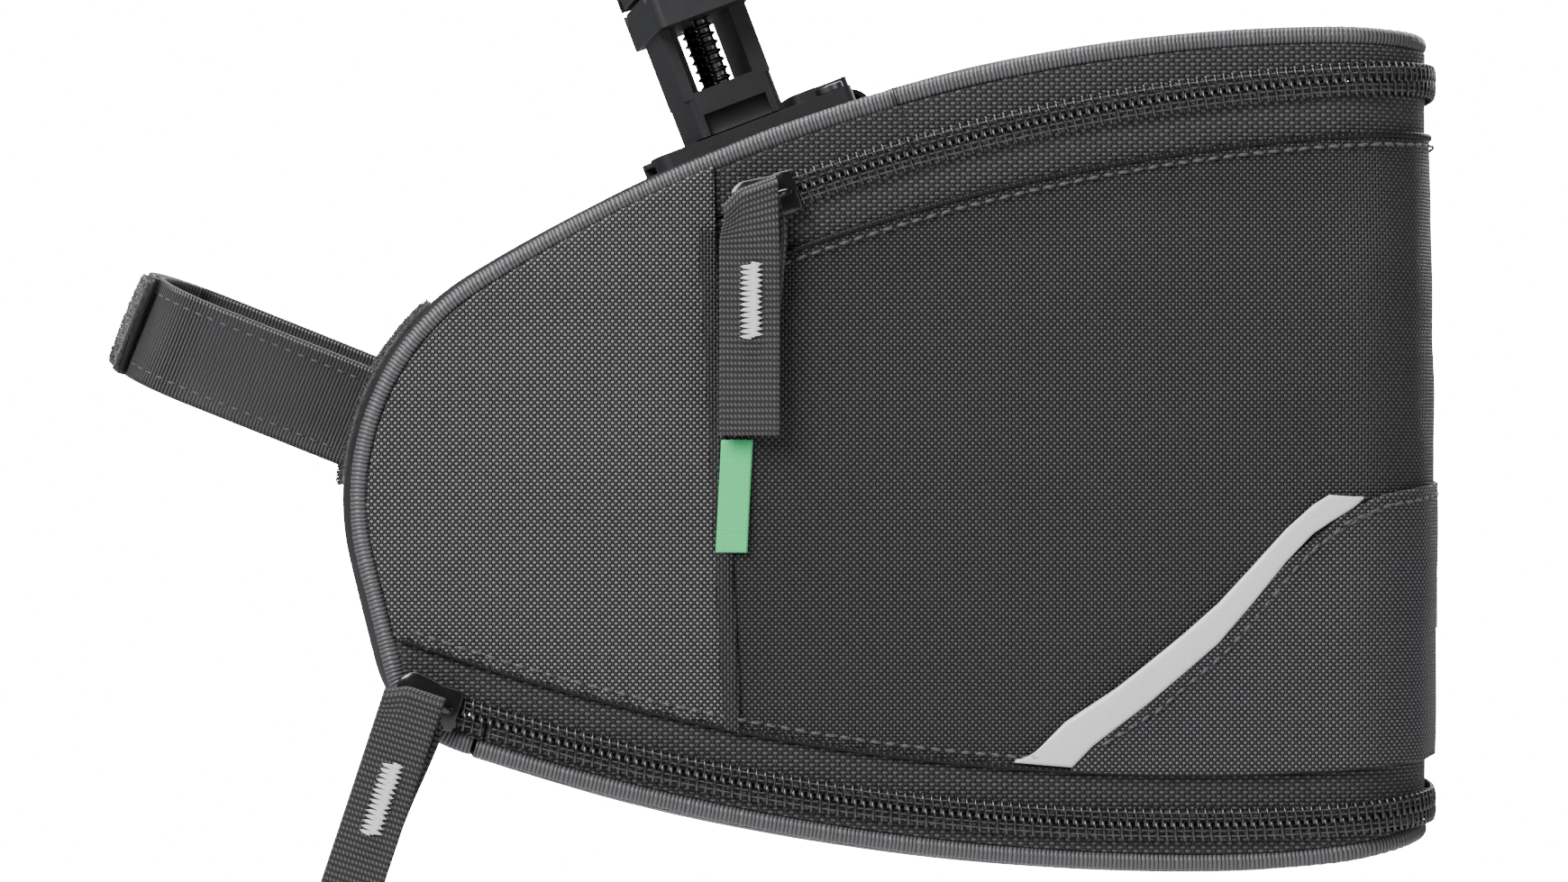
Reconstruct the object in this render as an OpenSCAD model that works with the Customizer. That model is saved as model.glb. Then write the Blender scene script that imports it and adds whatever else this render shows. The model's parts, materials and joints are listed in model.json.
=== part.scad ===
// Bicycle saddle bag with an expanding base, a seatpost strap and a slide-off clamp for the saddle rails.
// Row frame: origin midway between the two saddle rails, +X to the rear, -Y to the rider's left, +Z up.
// The bag itself is drawn in bag coordinates, with X = 0 at its front and Z = 0 at its lowest point.

/* [Bag] */
// Length of the bag, front to rear
bag_length = 214; // [212:1:217]
// Half width at the front
front_half_width = 30; // [28:1:32]
// Angle between each side and the centre plane
side_taper = 6.5; // [6:0.25:7]
// Radius of the rear corners, seen from above
rear_corner_r = 22; // [20:1:26]
// Thickness of a padded fabric wall
wall = 2; // [1.6:0.1:2.2]

/* [Zips] */
// Width of one half of the closed coil chain
half_chain = 3; // [2.6:0.1:3.2]
// Angle that the lid opens
lid_angle = 50; // [30:5:55]
// Angle that the expanding base drops
base_angle = 8; // [6:1:8]

/* [Clamp] */
// Distance between the centres of the saddle rails
rail_spacing = 44; // [43:1:45]
// Radius of a saddle rail
rail_r = 3.5; // [3.5:0.1:3.6]
// Distance from the centre plane to each clamp screw
screw_y = 11.5; // [11:0.25:12]

/* [Tabs and strap] */
// Width of the pull tab webbing
tab_w = 11.6; // [10:0.2:12]
// Length of the pull tab webbing
tab_len = 48; // [40:1:50]
// Width of the seatpost strap
strap_w = 20; // [18:1:22]

/* [Hidden] */

$fn = 48;
big = 400;
skin = 0.1;               // clearance between sewn neighbours
part_gap = 0.15;          // half of the gap between the two halves of a zip

// Side outline, made of arcs that meet tangentially. Each is [centre x, centre z, radius].
top_arc = [188.8, -146.3, 308.7];
nose_r = 51;
nose_arc = [nose_r, top_arc[1] + sqrt(pow(top_arc[2] - nose_r, 2) - pow(top_arc[0] - nose_r, 2)), nose_r];
keel_arc = [163, 450, 450];
heel_keel_r = 200;        // the keel curves up faster behind its lowest point
chin_r = 22;
chin_x = 28;
chin_arc = [chin_x, keel_arc[1] - sqrt(pow(keel_arc[2] - chin_r, 2) - pow(keel_arc[0] - chin_x, 2)), chin_r];

// Zip centre lines: arcs in the plane of each side.
main_zip = [213.6, -238.4, 391];
base_zip = [160, 469.3, 460];
main_hem_drop = 10.2;     // zip centre line to the hem of the fabric below it
base_hem_rise = 9.2;      // zip centre line to the hem of the fabric above it
rear_x = bag_length;
x_end = rear_x + 12;      // well clear of the rear wall

edge = 4;                 // width that the piping takes at an edge
piping_r = 1.9;
coil_top = 1;             // how far the coil stands out from the fabric

// Rear wall, seen from above: a shallow bow between two rounded corners.
bow_r = 160;
bow_x = rear_x - bow_r;
corner_reach = bow_r - rear_corner_r;
corner_phi = side_taper + asin((front_half_width + bow_x * tan(side_taper)
    - rear_corner_r / cos(side_taper)) * cos(side_taper) / corner_reach);
corner_c = [bow_x + corner_reach * cos(corner_phi), -corner_reach * sin(corner_phi)];
side_end_x = corner_c[0] - rear_corner_r * sin(side_taper);

// Hinge lines, both on the outer surface.
lid_hinge_x = 104;
lid_hinge = [lid_hinge_x, top_arc[1] + sqrt(pow(top_arc[2], 2) - pow(lid_hinge_x - top_arc[0], 2))];
lid_cut_angle = 17;       // the cut runs square to the zip below it
tray_hinge_x = 24;
tray_hinge = [tray_hinge_x, keel_arc[1] - sqrt(pow(keel_arc[2], 2) - pow(tray_hinge_x - keel_arc[0], 2))];
tray_cut_angle = 16.5;

seam_bottom = [74.4, 24];
seam_top = [68.6, 140];

// Clamp: u runs along the rails, w stands square to the top of the bag.
rail_tilt = 21;
foot = [top_arc[0] - top_arc[2] * sin(rail_tilt), top_arc[1] + top_arc[2] * cos(rail_tilt)];
rail_w = 33.6;            // height of the rail centres above the foot
rail_centre = [foot[0] - rail_w * sin(rail_tilt), 0, foot[1] + rail_w * cos(rail_tilt)];

// ---------- outlines ----------

function arc(c, r, a0, a1, n) = [for (i = [0:n]) let (a = a0 + (a1 - a0) * i / n) [c[0] + r * cos(a), c[1] + r * sin(a)]];

// Height at x of an arc's upper side, or of its lower side when r is negative.
function arc_z(c, r, x) = c[1] + sign(r) * sqrt(r * r - pow(x - c[0], 2));
function top_z(x, d = 0) = arc_z(top_arc, top_arc[2] - d, x);
function keel_z(x, d = 0) = x < keel_arc[0] ? arc_z(keel_arc, d - keel_arc[2], x)
    : arc_z([keel_arc[0], heel_keel_r], d - heel_keel_r, x);
function main_zip_z(x, d = 0) = arc_z(main_zip, main_zip[2] + d, x);
function base_zip_z(x, d = 0) = arc_z(base_zip, -base_zip[2] + d, x);

nose_to_chin = [chin_arc[0] - nose_arc[0], chin_arc[1] - nose_arc[1]];
throat_a = 360 + atan2(nose_to_chin[1], nose_to_chin[0]) - acos((nose_r - chin_r) / norm(nose_to_chin));
brow_a = atan2(nose_arc[1] - top_arc[1], nose_arc[0] - top_arc[0]);
jaw_a = 360 + atan2(chin_arc[1] - keel_arc[1], chin_arc[0] - keel_arc[0]);

// The side outline, drawn in by d all round. It runs past the rear wall, which comes from the plan.
function front_outline(d) = concat(
    arc(top_arc, top_arc[2] - d, 90, brow_a, 22),
    arc(nose_arc, nose_r - d, brow_a, throat_a, 14),
    arc(chin_arc, chin_r - d, throat_a, jaw_a, 9),
    arc(keel_arc, keel_arc[2] - d, jaw_a, 270, 14));
function outline(d) = concat(
    [[x_end, top_z(x_end, d)]], front_outline(d),
    [for (i = [1:6]) let (x = keel_arc[0] + (x_end - keel_arc[0]) * i / 6) [x, keel_z(x, d)]]);

function side_y(x, d = 0) = -(front_half_width + x * tan(side_taper)) + d / cos(side_taper);
function rear_plan(d) = concat(
    arc(corner_c, rear_corner_r - d, -90 - side_taper, -corner_phi, 12),
    arc([bow_x, 0], bow_r - d, -corner_phi, corner_phi, 8),
    arc([corner_c[0], -corner_c[1]], rear_corner_r - d, corner_phi, 90 + side_taper, 12));
function plan(d, x0 = -20) = concat([[x0, side_y(x0, d)]], rear_plan(d), [[x0, -side_y(x0, d)]]);

// ---------- building blocks ----------

module across(w = big) { rotate([90, 0, 0]) linear_extrude(height = w, center = true) children(); }
module upright() { translate([0, 0, -60]) linear_extrude(height = big) children(); }

// A wall that follows the sides and the rear, between two depths below the outer surface.
module fabric_wall(d0, d1) {
    upright() difference() {
        polygon(plan(d0, -20));
        polygon(plan(d1, -40));
    }
}

// A region of the side view between two heights that vary with x.
module between(z_low, z_high) { polygon(concat(z_low, [for (i = [len(z_high) - 1:-1:0]) z_high[i]])); }
function steps(x0, x1, n = 20) = [for (i = [0:n]) x0 + (x1 - x0) * i / n];
function main_line(x0, x1, d) = [for (x = steps(x0, x1)) [x, main_zip_z(x, d)]];
function base_line(x0, x1, d) = [for (x = steps(x0, x1)) [x, base_zip_z(x, d)]];

// Half planes on the moving side of each hinge cut; shift moves the cut away from the moving part.
module lid_side(shift = 0) {
    translate(lid_hinge) rotate(lid_cut_angle) translate([shift, -60]) square([big, 100]);
}
module tray_side(shift = 0) {
    translate(tray_hinge) rotate(-tray_cut_angle) translate([shift, -100]) square([big, 160]);
}
module behind_seam() {
    polygon([[seam_bottom[0] + 1.8, seam_bottom[1] - 30], [x_end, seam_bottom[1] - 30], [x_end, 190],
        [seam_top[0] - 2.9, 190], seam_top, seam_bottom]);
}
module ahead_of_seam() {
    polygon([[-30, -30], [seam_bottom[0] + 1.7, seam_bottom[1] - 30], seam_bottom - [skin, 0],
        seam_top - [skin, 0], [seam_top[0] - 3, 190], [-30, 190]]);
}

// A round cord swept along points that follow an edge.
function unit(v) = v / norm(v);
function tangent(p, i) = unit(p[min(i + 1, len(p) - 1)] - p[max(i - 1, 0)]);
module cord(points, r, sides = 8) {
    n = len(points);
    rings = [for (i = [0:n - 1]) let (
        t = tangent(points, i), s = unit(cross(t, [0.31, 0.9, 0.2])), q = cross(s, t))
        for (k = [0:sides - 1]) points[i] + r * (cos(360 * k / sides) * s + sin(360 * k / sides) * q)];
    faces = concat(
        [for (i = [0:n - 2], k = [0:sides - 1]) let (j = (k + 1) % sides)
            [i * sides + k, i * sides + j, (i + 1) * sides + j, (i + 1) * sides + k]],
        [[for (k = [sides - 1:-1:0]) k]],
        [[for (k = [0:sides - 1]) (n - 1) * sides + k]]);
    polyhedron(points = rings, faces = faces);
}

module in_row() { translate(-rail_centre) children(); }
module on_clamp() { in_row() translate([foot[0], 0, foot[1]]) rotate([0, -rail_tilt, 0]) children(); }
// Local frame on the left side of the bag: x to the rear along the side, -y outward, z up.
module on_left_side(x, z) { in_row() translate([x, side_y(x), z]) rotate([0, 0, -side_taper]) children(); }
module mirrored(right) { if (right) mirror([0, 1, 0]) children(); else children(); }
module left_half() { translate([-100, -big, -100]) cube([big, big, big]); }

module rounded_block(size, r) {
    linear_extrude(height = size[2]) union() {
        square([size[0] - 2 * r, size[1]], center = true);
        square([size[0], size[1] - 2 * r], center = true);
        for (x = [-1, 1], y = [-1, 1]) translate([x * (size[0] / 2 - r), y * (size[1] / 2 - r)]) circle(r);
    }
}

// ---------- rail clamp ----------

tower_l = 18;
tower_y = 32;
block_top = 12.2;
column_top = 25.6;
plate_t = 3;              // base socket above the bag
key_w = 20;
key_t = 1.2;
key_z = 0.5;              // underside of the key above the top of the bag
jaw_y = 56;
jaw_l = 20;
jaw_split = 0.5;
jaw_top = rail_w + 7;
screw_r = 2;
screw_core_r = 1.35;
thread_pitch = 1.8;
hole_r = 2.06;
key_gap = 0.2;

module clamp_tower() {
    color("#242426") on_clamp() difference() {
        union() {
            translate([0, 0, plate_t + 0.3]) rounded_block([tower_l, tower_y, block_top - plate_t - 0.3], 2);
            translate([-tower_l / 2, -tower_y / 2, block_top - 1]) cube([2.2, tower_y, column_top - block_top + 1]);
            translate([-tower_l / 2 + 2.2 - skin, -tower_y / 2 + 3, block_top - 1])
                cube([1.4 + skin, tower_y - 6, column_top - block_top + 1]);
            translate([tower_l / 2 - 3.4, -tower_y / 2, block_top - 1]) cube([3.4, tower_y, column_top - block_top + 1]);
            translate([-6, -key_w / 2 + 4, key_z]) cube([12, key_w - 8, plate_t + 1]);
            translate([-8, -key_w / 2, key_z]) cube([16, key_w, key_t]);
        }
        for (s = [-1, 1]) translate([0, s * screw_y, 4.2]) cylinder(r = hole_r, h = 20);
        for (s = [-1, 1]) translate([0, s * (tower_y / 2 + 2.2), 4.2]) rotate([0, 90, 0])
            cylinder(r = 4, h = tower_l - 5, center = true);
    }
}

module rail_groove(side) {
    translate([0, side * rail_spacing / 2, rail_w]) rotate([0, 90, 0]) cylinder(r = rail_r, h = jaw_l + 2, center = true);
}
module lower_jaw() {
    color("#2a2a2c") on_clamp() difference() {
        translate([0, 0, column_top]) rounded_block([jaw_l, jaw_y, rail_w - jaw_split - column_top], 2);
        for (s = [-1, 1]) rail_groove(s);
        for (s = [-1, 1]) translate([0, s * screw_y, column_top - 1]) cylinder(r = hole_r + 0.1, h = 20);
    }
}
module upper_jaw() {
    color("#2a2a2c") on_clamp() difference() {
        translate([0, 0, rail_w + jaw_split]) rounded_block([jaw_l, jaw_y, jaw_top - rail_w - jaw_split], 2);
        for (s = [-1, 1]) rail_groove(s);
        for (s = [-1, 1]) translate([0, s * screw_y, rail_w]) cylinder(r = hole_r + 0.1, h = 20);
        for (s = [-1, 1]) translate([0, s * screw_y, jaw_top - 1.2]) cylinder(r = 4.8, h = 5);
    }
}
washer_t = 0.8;
module jaw_washers() {
    color("silver") on_clamp() for (s = [-1, 1]) translate([0, s * screw_y, jaw_top - 1.2]) difference() {
        cylinder(r = 4.4, h = washer_t);
        translate([0, 0, -1]) cylinder(r = hole_r + 0.1, h = 4);
    }
}
// Coarse thread as separate ridges on a plain core.
module clamp_screw(s) {
    color("#8a8a8c") on_clamp() translate([0, s * screw_y, 0]) {
        difference() {
            union() {
                translate([0, 0, 5]) cylinder(r = screw_core_r, h = jaw_top - 5);
                translate([0, 0, rail_w - 4]) cylinder(r = screw_r, h = jaw_top - rail_w + 4);
                translate([0, 0, jaw_top - 1.2 + washer_t]) cylinder(r = 3.7, h = 2.6);
                for (z = [6:thread_pitch:rail_w - 5]) translate([0, 0, z]) rotate_extrude()
                    polygon([[0.5, -0.5], [screw_core_r, -0.5], [screw_r, -0.08], [screw_r, 0.08],
                        [screw_core_r, 0.5], [0.5, 0.5]]);
            }
            translate([0, 0, jaw_top + washer_t - 0.2]) cylinder(r = 1.75, h = 4, $fn = 6);
        }
    }
}
module screw_left() { clamp_screw(-1); }
module screw_right() { clamp_screw(1); }

socket_front = -18.5;
socket_rear = 23;
socket_w = 34;
module base_socket() {
    length = socket_rear - socket_front;
    mid = (socket_rear + socket_front) / 2;
    color("#1d1d1f") on_clamp() difference() {
        union() {
            translate([mid, 0, -1.4]) rounded_block([length, socket_w, plate_t + 1.4], 3);
            translate([17, 0, 0]) rounded_block([12, socket_w - 6, 5], 2);
        }
        // keyway, open at the front
        translate([socket_front - 1, -key_w / 2 - key_gap, -5])
            cube([8.3 - socket_front + 1, key_w + 2 * key_gap, key_z + key_t + key_gap + 5]);
        translate([socket_front - 1, -key_w / 2 + 4 - key_gap, -5])
            cube([6.3 - socket_front + 1, key_w - 8 + 2 * key_gap, 20]);
        // underside follows the curved top of the bag
        on_clamp_profile(-0.05);
        for (x = [-14, 19], y = [-1, 1]) translate([x, y * 13.2, -3]) cylinder(r = 1.6, h = 10);
        for (x = [-14], y = [-1, 1]) translate([x, y * 13.2, plate_t - 1.6]) cylinder(r = 3, h = 5);
        for (x = [19], y = [-1, 1]) translate([x, y * 13.2, 3]) cylinder(r = 3, h = 5);
    }
}
// The bag's own top surface, as a solid in the clamp's frame.
module on_clamp_profile(d) {
    rotate([0, rail_tilt, 0]) translate([-foot[0], 0, -foot[1]]) across() polygon(outline(d));
}
module socket_screws() {
    color("#6f6f72") on_clamp() for (x = [-14, 19], y = [-1, 1]) translate([x, y * 13.2, 0]) {
        seat = x < 0 ? plate_t - 1.6 : 3;
        translate([0, 0, seat]) cylinder(r = 2.9, h = 1.4);
        translate([0, 0, -6]) cylinder(r = 1.5, h = seat + 6);
    }
}
module backing_plate() {
    color("#3a3a3c") in_row() difference() {
        across(socket_w) intersection() {
            difference() { polygon(outline(wall + skin)); polygon(outline(wall + skin + 1.6)); }
            translate([foot[0] - 24, 60]) square([50, 120]);
        }
        translate([foot[0], 0, foot[1]]) rotate([0, -rail_tilt, 0])
            for (x = [-14, 19], y = [-1, 1]) translate([x, y * 13.2, -12]) cylinder(r = 1.6, h = 20);
    }
}
module release_tongue() {
    color("#2b2926") on_clamp() difference() {
        rotate([90, 0, 0]) linear_extrude(height = 16, center = true)
            polygon(concat(arc([22.2, -1.9], 4.5, 110, 0, 10), arc([22.2, -1.9], 3.5, 0, 110, 10)));
        on_clamp_profile(-0.02);
        translate([socket_front, -20, -5]) cube([socket_rear - socket_front + 0.02, 40, 20]);
    }
}

// ---------- bag shell ----------

module spine_panel() {
    color("#26262a") in_row() difference() {
        intersection() {
            across() difference() { polygon(outline(0)); polygon(outline(wall)); }
            upright() polygon(plan(edge + 0.6));
            across() difference() {
                translate([-30, -30]) square([big, big]);
                lid_side(-0.3);
                tray_side(-0.3);
            }
        }
        translate([foot[0], 0, foot[1]]) rotate([0, -rail_tilt, 0])
            for (x = [-14, 19], y = [-1, 1]) translate([x, y * 13.2, -12]) cylinder(r = 1.6, h = 20);
    }
}

module front_panel(right) {
    color("#2c2c30") in_row() mirrored(right) intersection() {
        fabric_wall(0, wall);
        left_half();
        across() intersection() {
            polygon(outline(edge));
            ahead_of_seam();
            between(base_line(-8, 90, base_hem_rise + skin), [[-8, 200], [90, 200]]);
        }
    }
}
module front_panel_left() { front_panel(false); }
module front_panel_right() { front_panel(true); }

module wrap_panel() {
    color("#2c2c30") in_row() intersection() {
        fabric_wall(0, wall);
        across() intersection() {
            between(base_line(60, x_end, base_hem_rise + skin), main_line(60, x_end, -main_hem_drop - skin));
            behind_seam();
        }
    }
}

// Overlay on the lower rear corners and the rear, with a slanting front edge.
patch_t = 0.8;
patch_edge = [[137.5, 24], [178, 59.5], [189.5, 69.5], [197, 72.6], [x_end, 77]];
module corner_patch() {
    color("#2f2f34") in_row() intersection() {
        fabric_wall(-patch_t, 0);
        across() difference() {
            intersection() {
                polygon(concat([[patch_edge[0][0] - 3, 0], [x_end, 0]], [for (i = [4:-1:0]) patch_edge[i]]));
                between(base_line(120, x_end, base_hem_rise + 0.4), [[120, 150], [x_end, 150]]);
            }
            strip_region();
        }
    }
}

// Reflective strip beside the slanting edge: it bends flat at its top end.
strip_low = [[126.4, 21.2], [137.3, 20.3], [141.2, 24.4], [152.2, 32.9], [165, 44], [171.5, 51.7],
    [177.8, 59.5], [183, 65], [190.8, 70.2], [192.6, 71.9]];
strip_high = [[186, 72.4], [183, 70.5], [177.9, 65.9], [171.5, 58.8], [165, 51.7], [158.5, 45.9],
    [152.2, 40.7], [145.7, 35.5], [136, 29], [130.2, 23.1]];
module strip_region() { polygon(concat(strip_low, strip_high)); }
module reflector(right) {
    color("#c9cccf") in_row() mirrored(right) intersection() {
        fabric_wall(-patch_t, 0);
        left_half();
        across() strip_region();
    }
}
module reflector_left() { reflector(false); }
module reflector_right() { reflector(true); }

rear_strip_y = 30;
module reflector_rear() {
    color("#c9cccf") in_row() intersection() {
        fabric_wall(-patch_t - 0.6, -patch_t);
        translate([rear_x - 20, -rear_strip_y, 46]) cube([40, 2 * rear_strip_y, 10]);
    }
}

module side_label() {
    color("#6fca8c") in_row() intersection() {
        fabric_wall(-0.9, 0);
        left_half();
        across() polygon([[70.4, 82.9], [76.4, 82.9], [77, 61.4], [71.5, 61.4]]);
    }
}

// Flat webbing loop for a tail light, sewn down at both ends and free between them.
loop_low = 82;
loop_high = 106;
loop_w = 20;
module light_loop() {
    color("#1c1c1e") in_row() intersection() {
        union() {
            fabric_wall(-2.3, -1.1);
            intersection() { fabric_wall(-2.3, 0); loop_ends(); }
        }
        translate([rear_x - 20, -loop_w / 2, loop_low]) cube([40, loop_w, loop_high - loop_low]);
    }
}
module loop_ends() {
    for (z = [loop_low, loop_high - 4]) translate([rear_x - 20, -loop_w, z]) cube([40, 2 * loop_w, 4]);
}
module light_loop_bartacks() {
    color("#3c3c40") in_row() intersection() {
        fabric_wall(-2.7, -2.3);
        for (z = [loop_low + 1.2, loop_high - 2.8]) translate([rear_x - 20, -loop_w / 2 + 1.5, z]) cube([40, loop_w - 3, 1.6]);
    }
}

module piping(right) {
    points = [for (p = spine_edge()) [p[0], side_y(p[0], 2.1), p[1]]];
    color("#3a3a3d") in_row() mirrored(right) cord(points, piping_r);
}
// Edge line of the fixed spine, from the lid hinge round the nose to the tray hinge.
function spine_edge() = [for (p = front_outline(2)) if (p[0] < lid_hinge[0] - 1.2 && (p[1] > tray_hinge[1] + 4 || p[0] < tray_hinge[0] - 1.6)) p];
module piping_left() { piping(false); }
module piping_right() { piping(true); }

// ---------- zips ----------

module zip_band(d0, d1) { intersection() { fabric_wall(d0, d1); across() children(); } }
tape_out = 1;
tape_in = 2;

module main_tape_lower() {
    color("#1f1f21") in_row() zip_band(tape_out, tape_in) intersection() {
        between(main_line(60, x_end, -main_hem_drop), main_line(60, x_end, -part_gap));
        behind_seam();
    }
}
coil_start_x = 72.5;
module main_coil_lower() {
    color("#101012") in_row() zip_band(-coil_top, tape_out) 
        between(main_line(coil_start_x, x_end, -half_chain), main_line(coil_start_x, x_end, -part_gap));
}
module main_tape_front() {
    color("#1f1f21") in_row() zip_band(tape_out, tape_in) difference() {
        intersection() {
            between(main_line(60, 125, part_gap), [[60, 200], [125, 200]]);
            polygon(outline(edge));
            behind_seam();
        }
        lid_side(-0.3);
    }
}
module main_coil_front() {
    color("#101012") in_row() zip_band(-coil_top, tape_out) difference() {
        between(main_line(coil_start_x, 125, part_gap), main_line(coil_start_x, 125, half_chain));
        lid_side(-0.3);
    }
}
module base_tape_upper() {
    color("#1f1f21") in_row() zip_band(tape_out, tape_in) intersection() {
        between(base_line(-8, x_end, part_gap), base_line(-8, x_end, base_hem_rise));
        polygon(outline(edge));
    }
}
base_coil_x = 9;
module base_coil_upper() {
    color("#101012") in_row() zip_band(-coil_top, tape_out) intersection() {
        between(base_line(base_coil_x, x_end, part_gap), base_line(base_coil_x, x_end, half_chain));
        polygon(outline(edge - 0.1));
    }
}
module base_tape_front() {
    color("#1f1f21") in_row() zip_band(tape_out, tape_in) difference() {
        intersection() {
            between([[-8, 0], [40, 0]], base_line(-8, 40, -part_gap));
            polygon(outline(edge));
        }
        tray_side(-0.3);
    }
}
module base_coil_front() {
    color("#101012") in_row() zip_band(-coil_top, tape_out) difference() {
        intersection() {
            between(base_line(base_coil_x, 40, -half_chain), base_line(base_coil_x, 40, -part_gap));
            polygon(outline(edge - 0.1));
        }
        tray_side(-0.3);
    }
}

// ---------- lid ----------

module lid_panel() {
    color("#26262a") in_row() intersection() {
        across() difference() { polygon(outline(0)); polygon(outline(wall)); }
        upright() polygon(plan(edge + 0.9));
        across() lid_side();
    }
}
module lid_tape() {
    color("#1f1f21") in_row() zip_band(tape_out, tape_in) intersection() {
        between(main_line(60, x_end, part_gap), [[60, 200], [x_end, 200]]);
        polygon(outline(edge));
        lid_side();
    }
}
module lid_coil() {
    color("#101012") in_row() zip_band(-coil_top, tape_out) intersection() {
        between(main_line(90, x_end, part_gap), main_line(90, x_end, half_chain));
        lid_side();
    }
}
lid_piping_inset = 2.6;
module lid_piping() {
    side = [for (x = steps(lid_hinge[0] + 1.2, side_end_x - 3, 9)) [x, side_y(x, lid_piping_inset)]];
    plan_path = concat(side, rear_plan(lid_piping_inset), [for (i = [len(side) - 1:-1:0]) [side[i][0], -side[i][1]]]);
    color("#3a3a3d") in_row() cord([for (p = plan_path) [p[0], p[1], top_z(p[0], 2)]], piping_r);
}

// ---------- expanding base ----------

module tray_panel() {
    color("#26262a") in_row() intersection() {
        across() difference() { polygon(outline(0)); polygon(outline(wall)); }
        upright() polygon(plan(edge + 0.9));
        across() intersection() { tray_side(); translate([0, -20]) square([big, 60]); }
    }
}
module tray_tape() {
    color("#1f1f21") in_row() zip_band(tape_out, tape_in) intersection() {
        between([[0, -10], [x_end, -10]], base_line(0, x_end, -part_gap));
        polygon(outline(edge));
        tray_side();
    }
}
module tray_coil() {
    color("#101012") in_row() zip_band(-coil_top, tape_out) intersection() {
        between(base_line(10, x_end, -half_chain), base_line(10, x_end, -part_gap));
        polygon(outline(edge - 0.1));
        tray_side();
    }
}
module tray_piping() {
    side = [for (x = steps(tray_hinge[0] + 1.4, side_end_x - 3, 14)) [x, side_y(x, lid_piping_inset)]];
    plan_path = concat(side, rear_plan(lid_piping_inset), [for (i = [len(side) - 1:-1:0]) [side[i][0], -side[i][1]]]);
    color("#3a3a3d") in_row() cord([for (p = plan_path) [p[0], p[1], keel_z(p[0], 2)]], piping_r);
}

// Folded cloth between the two halves of the lower zip. It is drawn as the sleeve that it makes when open.
gusset_out = 4;
gusset_in = 5;
gusset_x = 44;
gusset_foot = -1.9;
function swung(p, a) = let (d = p - tray_hinge)
    tray_hinge + [d[0] * cos(a) - d[1] * sin(a), d[0] * sin(a) + d[1] * cos(a)];
module tray_gusset() {
    foot_line = base_line(gusset_x, x_end, gusset_foot);
    color("#232326") in_row() union() {
        zip_band(gusset_out, gusset_in)
            between(foot_line, [for (p = base_line(gusset_x, x_end, 0)) swung(p, base_angle + 1)]);
        zip_band(tape_in, gusset_in) between(foot_line, base_line(gusset_x, x_end, gusset_foot + 1.4));
    }
}
module tray_board() {
    color("#3a3a3c") in_row() intersection() {
        across() difference() { polygon(outline(wall + skin)); polygon(outline(wall + skin + 1.4)); }
        upright() polygon(plan(9));
        translate([46, -100, -20]) cube([148, 200, 60]);
    }
}

// ---------- sliders and pull tabs ----------

main_slider_x = 79.2;
base_slider_x = 15;
slider_l = 12.4;
slider_wide = 4.9;
slider_narrow = 4.1;
plate_out = 1.35;         // slider plate above the fabric surface
plate_thick = 1.1;
bar_out = 4.8;            // pull bar above the fabric surface
bar_r = 0.8;

module on_main_slider() {
    on_left_side(main_slider_x, main_zip_z(main_slider_x)) rotate([0, -asin((main_zip[0] - main_slider_x) / main_zip[2]), 0]) children();
}
module on_base_slider() {
    on_left_side(base_slider_x, base_zip_z(base_slider_x)) rotate([0, asin((base_zip[0] - base_slider_x) / base_zip[2]), 0]) children();
}

module slider_outline() {
    polygon(concat(
        arc([-3.4, 1.7], 3.2, 180, 75, 6), [[slider_l / 2 - 3, slider_narrow], [slider_l / 2, slider_narrow - 0.3]],
        [[slider_l / 2, -slider_narrow + 0.3], [slider_l / 2 - 3, -slider_narrow]], arc([-3.4, -1.7], 3.2, -75, -180, 6)));
}
module slider_plate(y0, t) { translate([0, y0, 0]) rotate([90, 0, 0]) linear_extrude(height = t) slider_outline(); }
module slider() {
    color("#0e0e10") union() {
        slider_plate(-plate_out, plate_thick);
        for (s = [-1, 1]) translate([0, 0, s * (slider_narrow - 0.45)])
            translate([-1.2, -plate_out - 0.2, -0.35]) cube([slider_l / 2 + 1, plate_out + 0.2, 0.7]);
        for (s = [-1, 1]) translate([s * 4.1, -plate_out - 0.5, 0]) rotate([90, 0, 0])
            linear_extrude(height = bar_out - plate_out - 0.5) square([1.3, 2], center = true);
        translate([0, -bar_out, 0]) rotate([0, 90, 0]) cylinder(r = bar_r, h = 9.5, center = true);
    }
}
module main_slider() { on_main_slider() slider(); }
module base_slider() { on_base_slider() slider(); }

// Doubled webbing with an eye that turns on the slider's bar. lean turns the webbing in its own plane.
eye_r = 0.88;
eye_wall = 1.1;
tab_t = 1.9;
tab_shift = -2.6;         // the webbing bunches towards the front end of the bar
module tab(lean, len = tab_len) {
    color("#1a1a1c") difference() {
        union() {
            translate([0, -bar_out, 0]) rotate([0, 90, 0]) cylinder(r = eye_r + eye_wall, h = 6.6, center = true);
            translate([0, -bar_out + tab_t / 2, 0]) rotate([90, 0, 0]) linear_extrude(height = tab_t) tab_outline(lean, len);
        }
        translate([0, -bar_out, 0]) rotate([0, 90, 0]) cylinder(r = eye_r, h = 30, center = true);
        for (s = [-1, 1]) translate([s * 6.7 - 3.2, -bar_out - 3, -3.4]) cube([6.4, 6, 8]);
    }
}
module tab_outline(lean, len) {
    polygon(concat([[-3.3, -1], [3.3, -1]],
        [for (p = [[tab_w / 2, 6], [tab_w / 2, len], [-tab_w / 2, len], [-tab_w / 2, 6]])
            [tab_shift + p[0] * cos(lean) - p[1] * sin(lean), -p[1] * cos(lean) - p[0] * sin(lean)]]));
}
module tab_bartack(lean, low = 30) {
    color("white") translate([tab_shift, 0, 0]) rotate([0, lean, 0])
        translate([-1.4, -bar_out - tab_t / 2 - 0.4, -low]) cube([2.8, 0.4, 15]);
}
tab_rise = 4;             // the main pull's fold sits this much higher on its bar
main_lean = asin((main_zip[0] - main_slider_x) / main_zip[2]);
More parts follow.
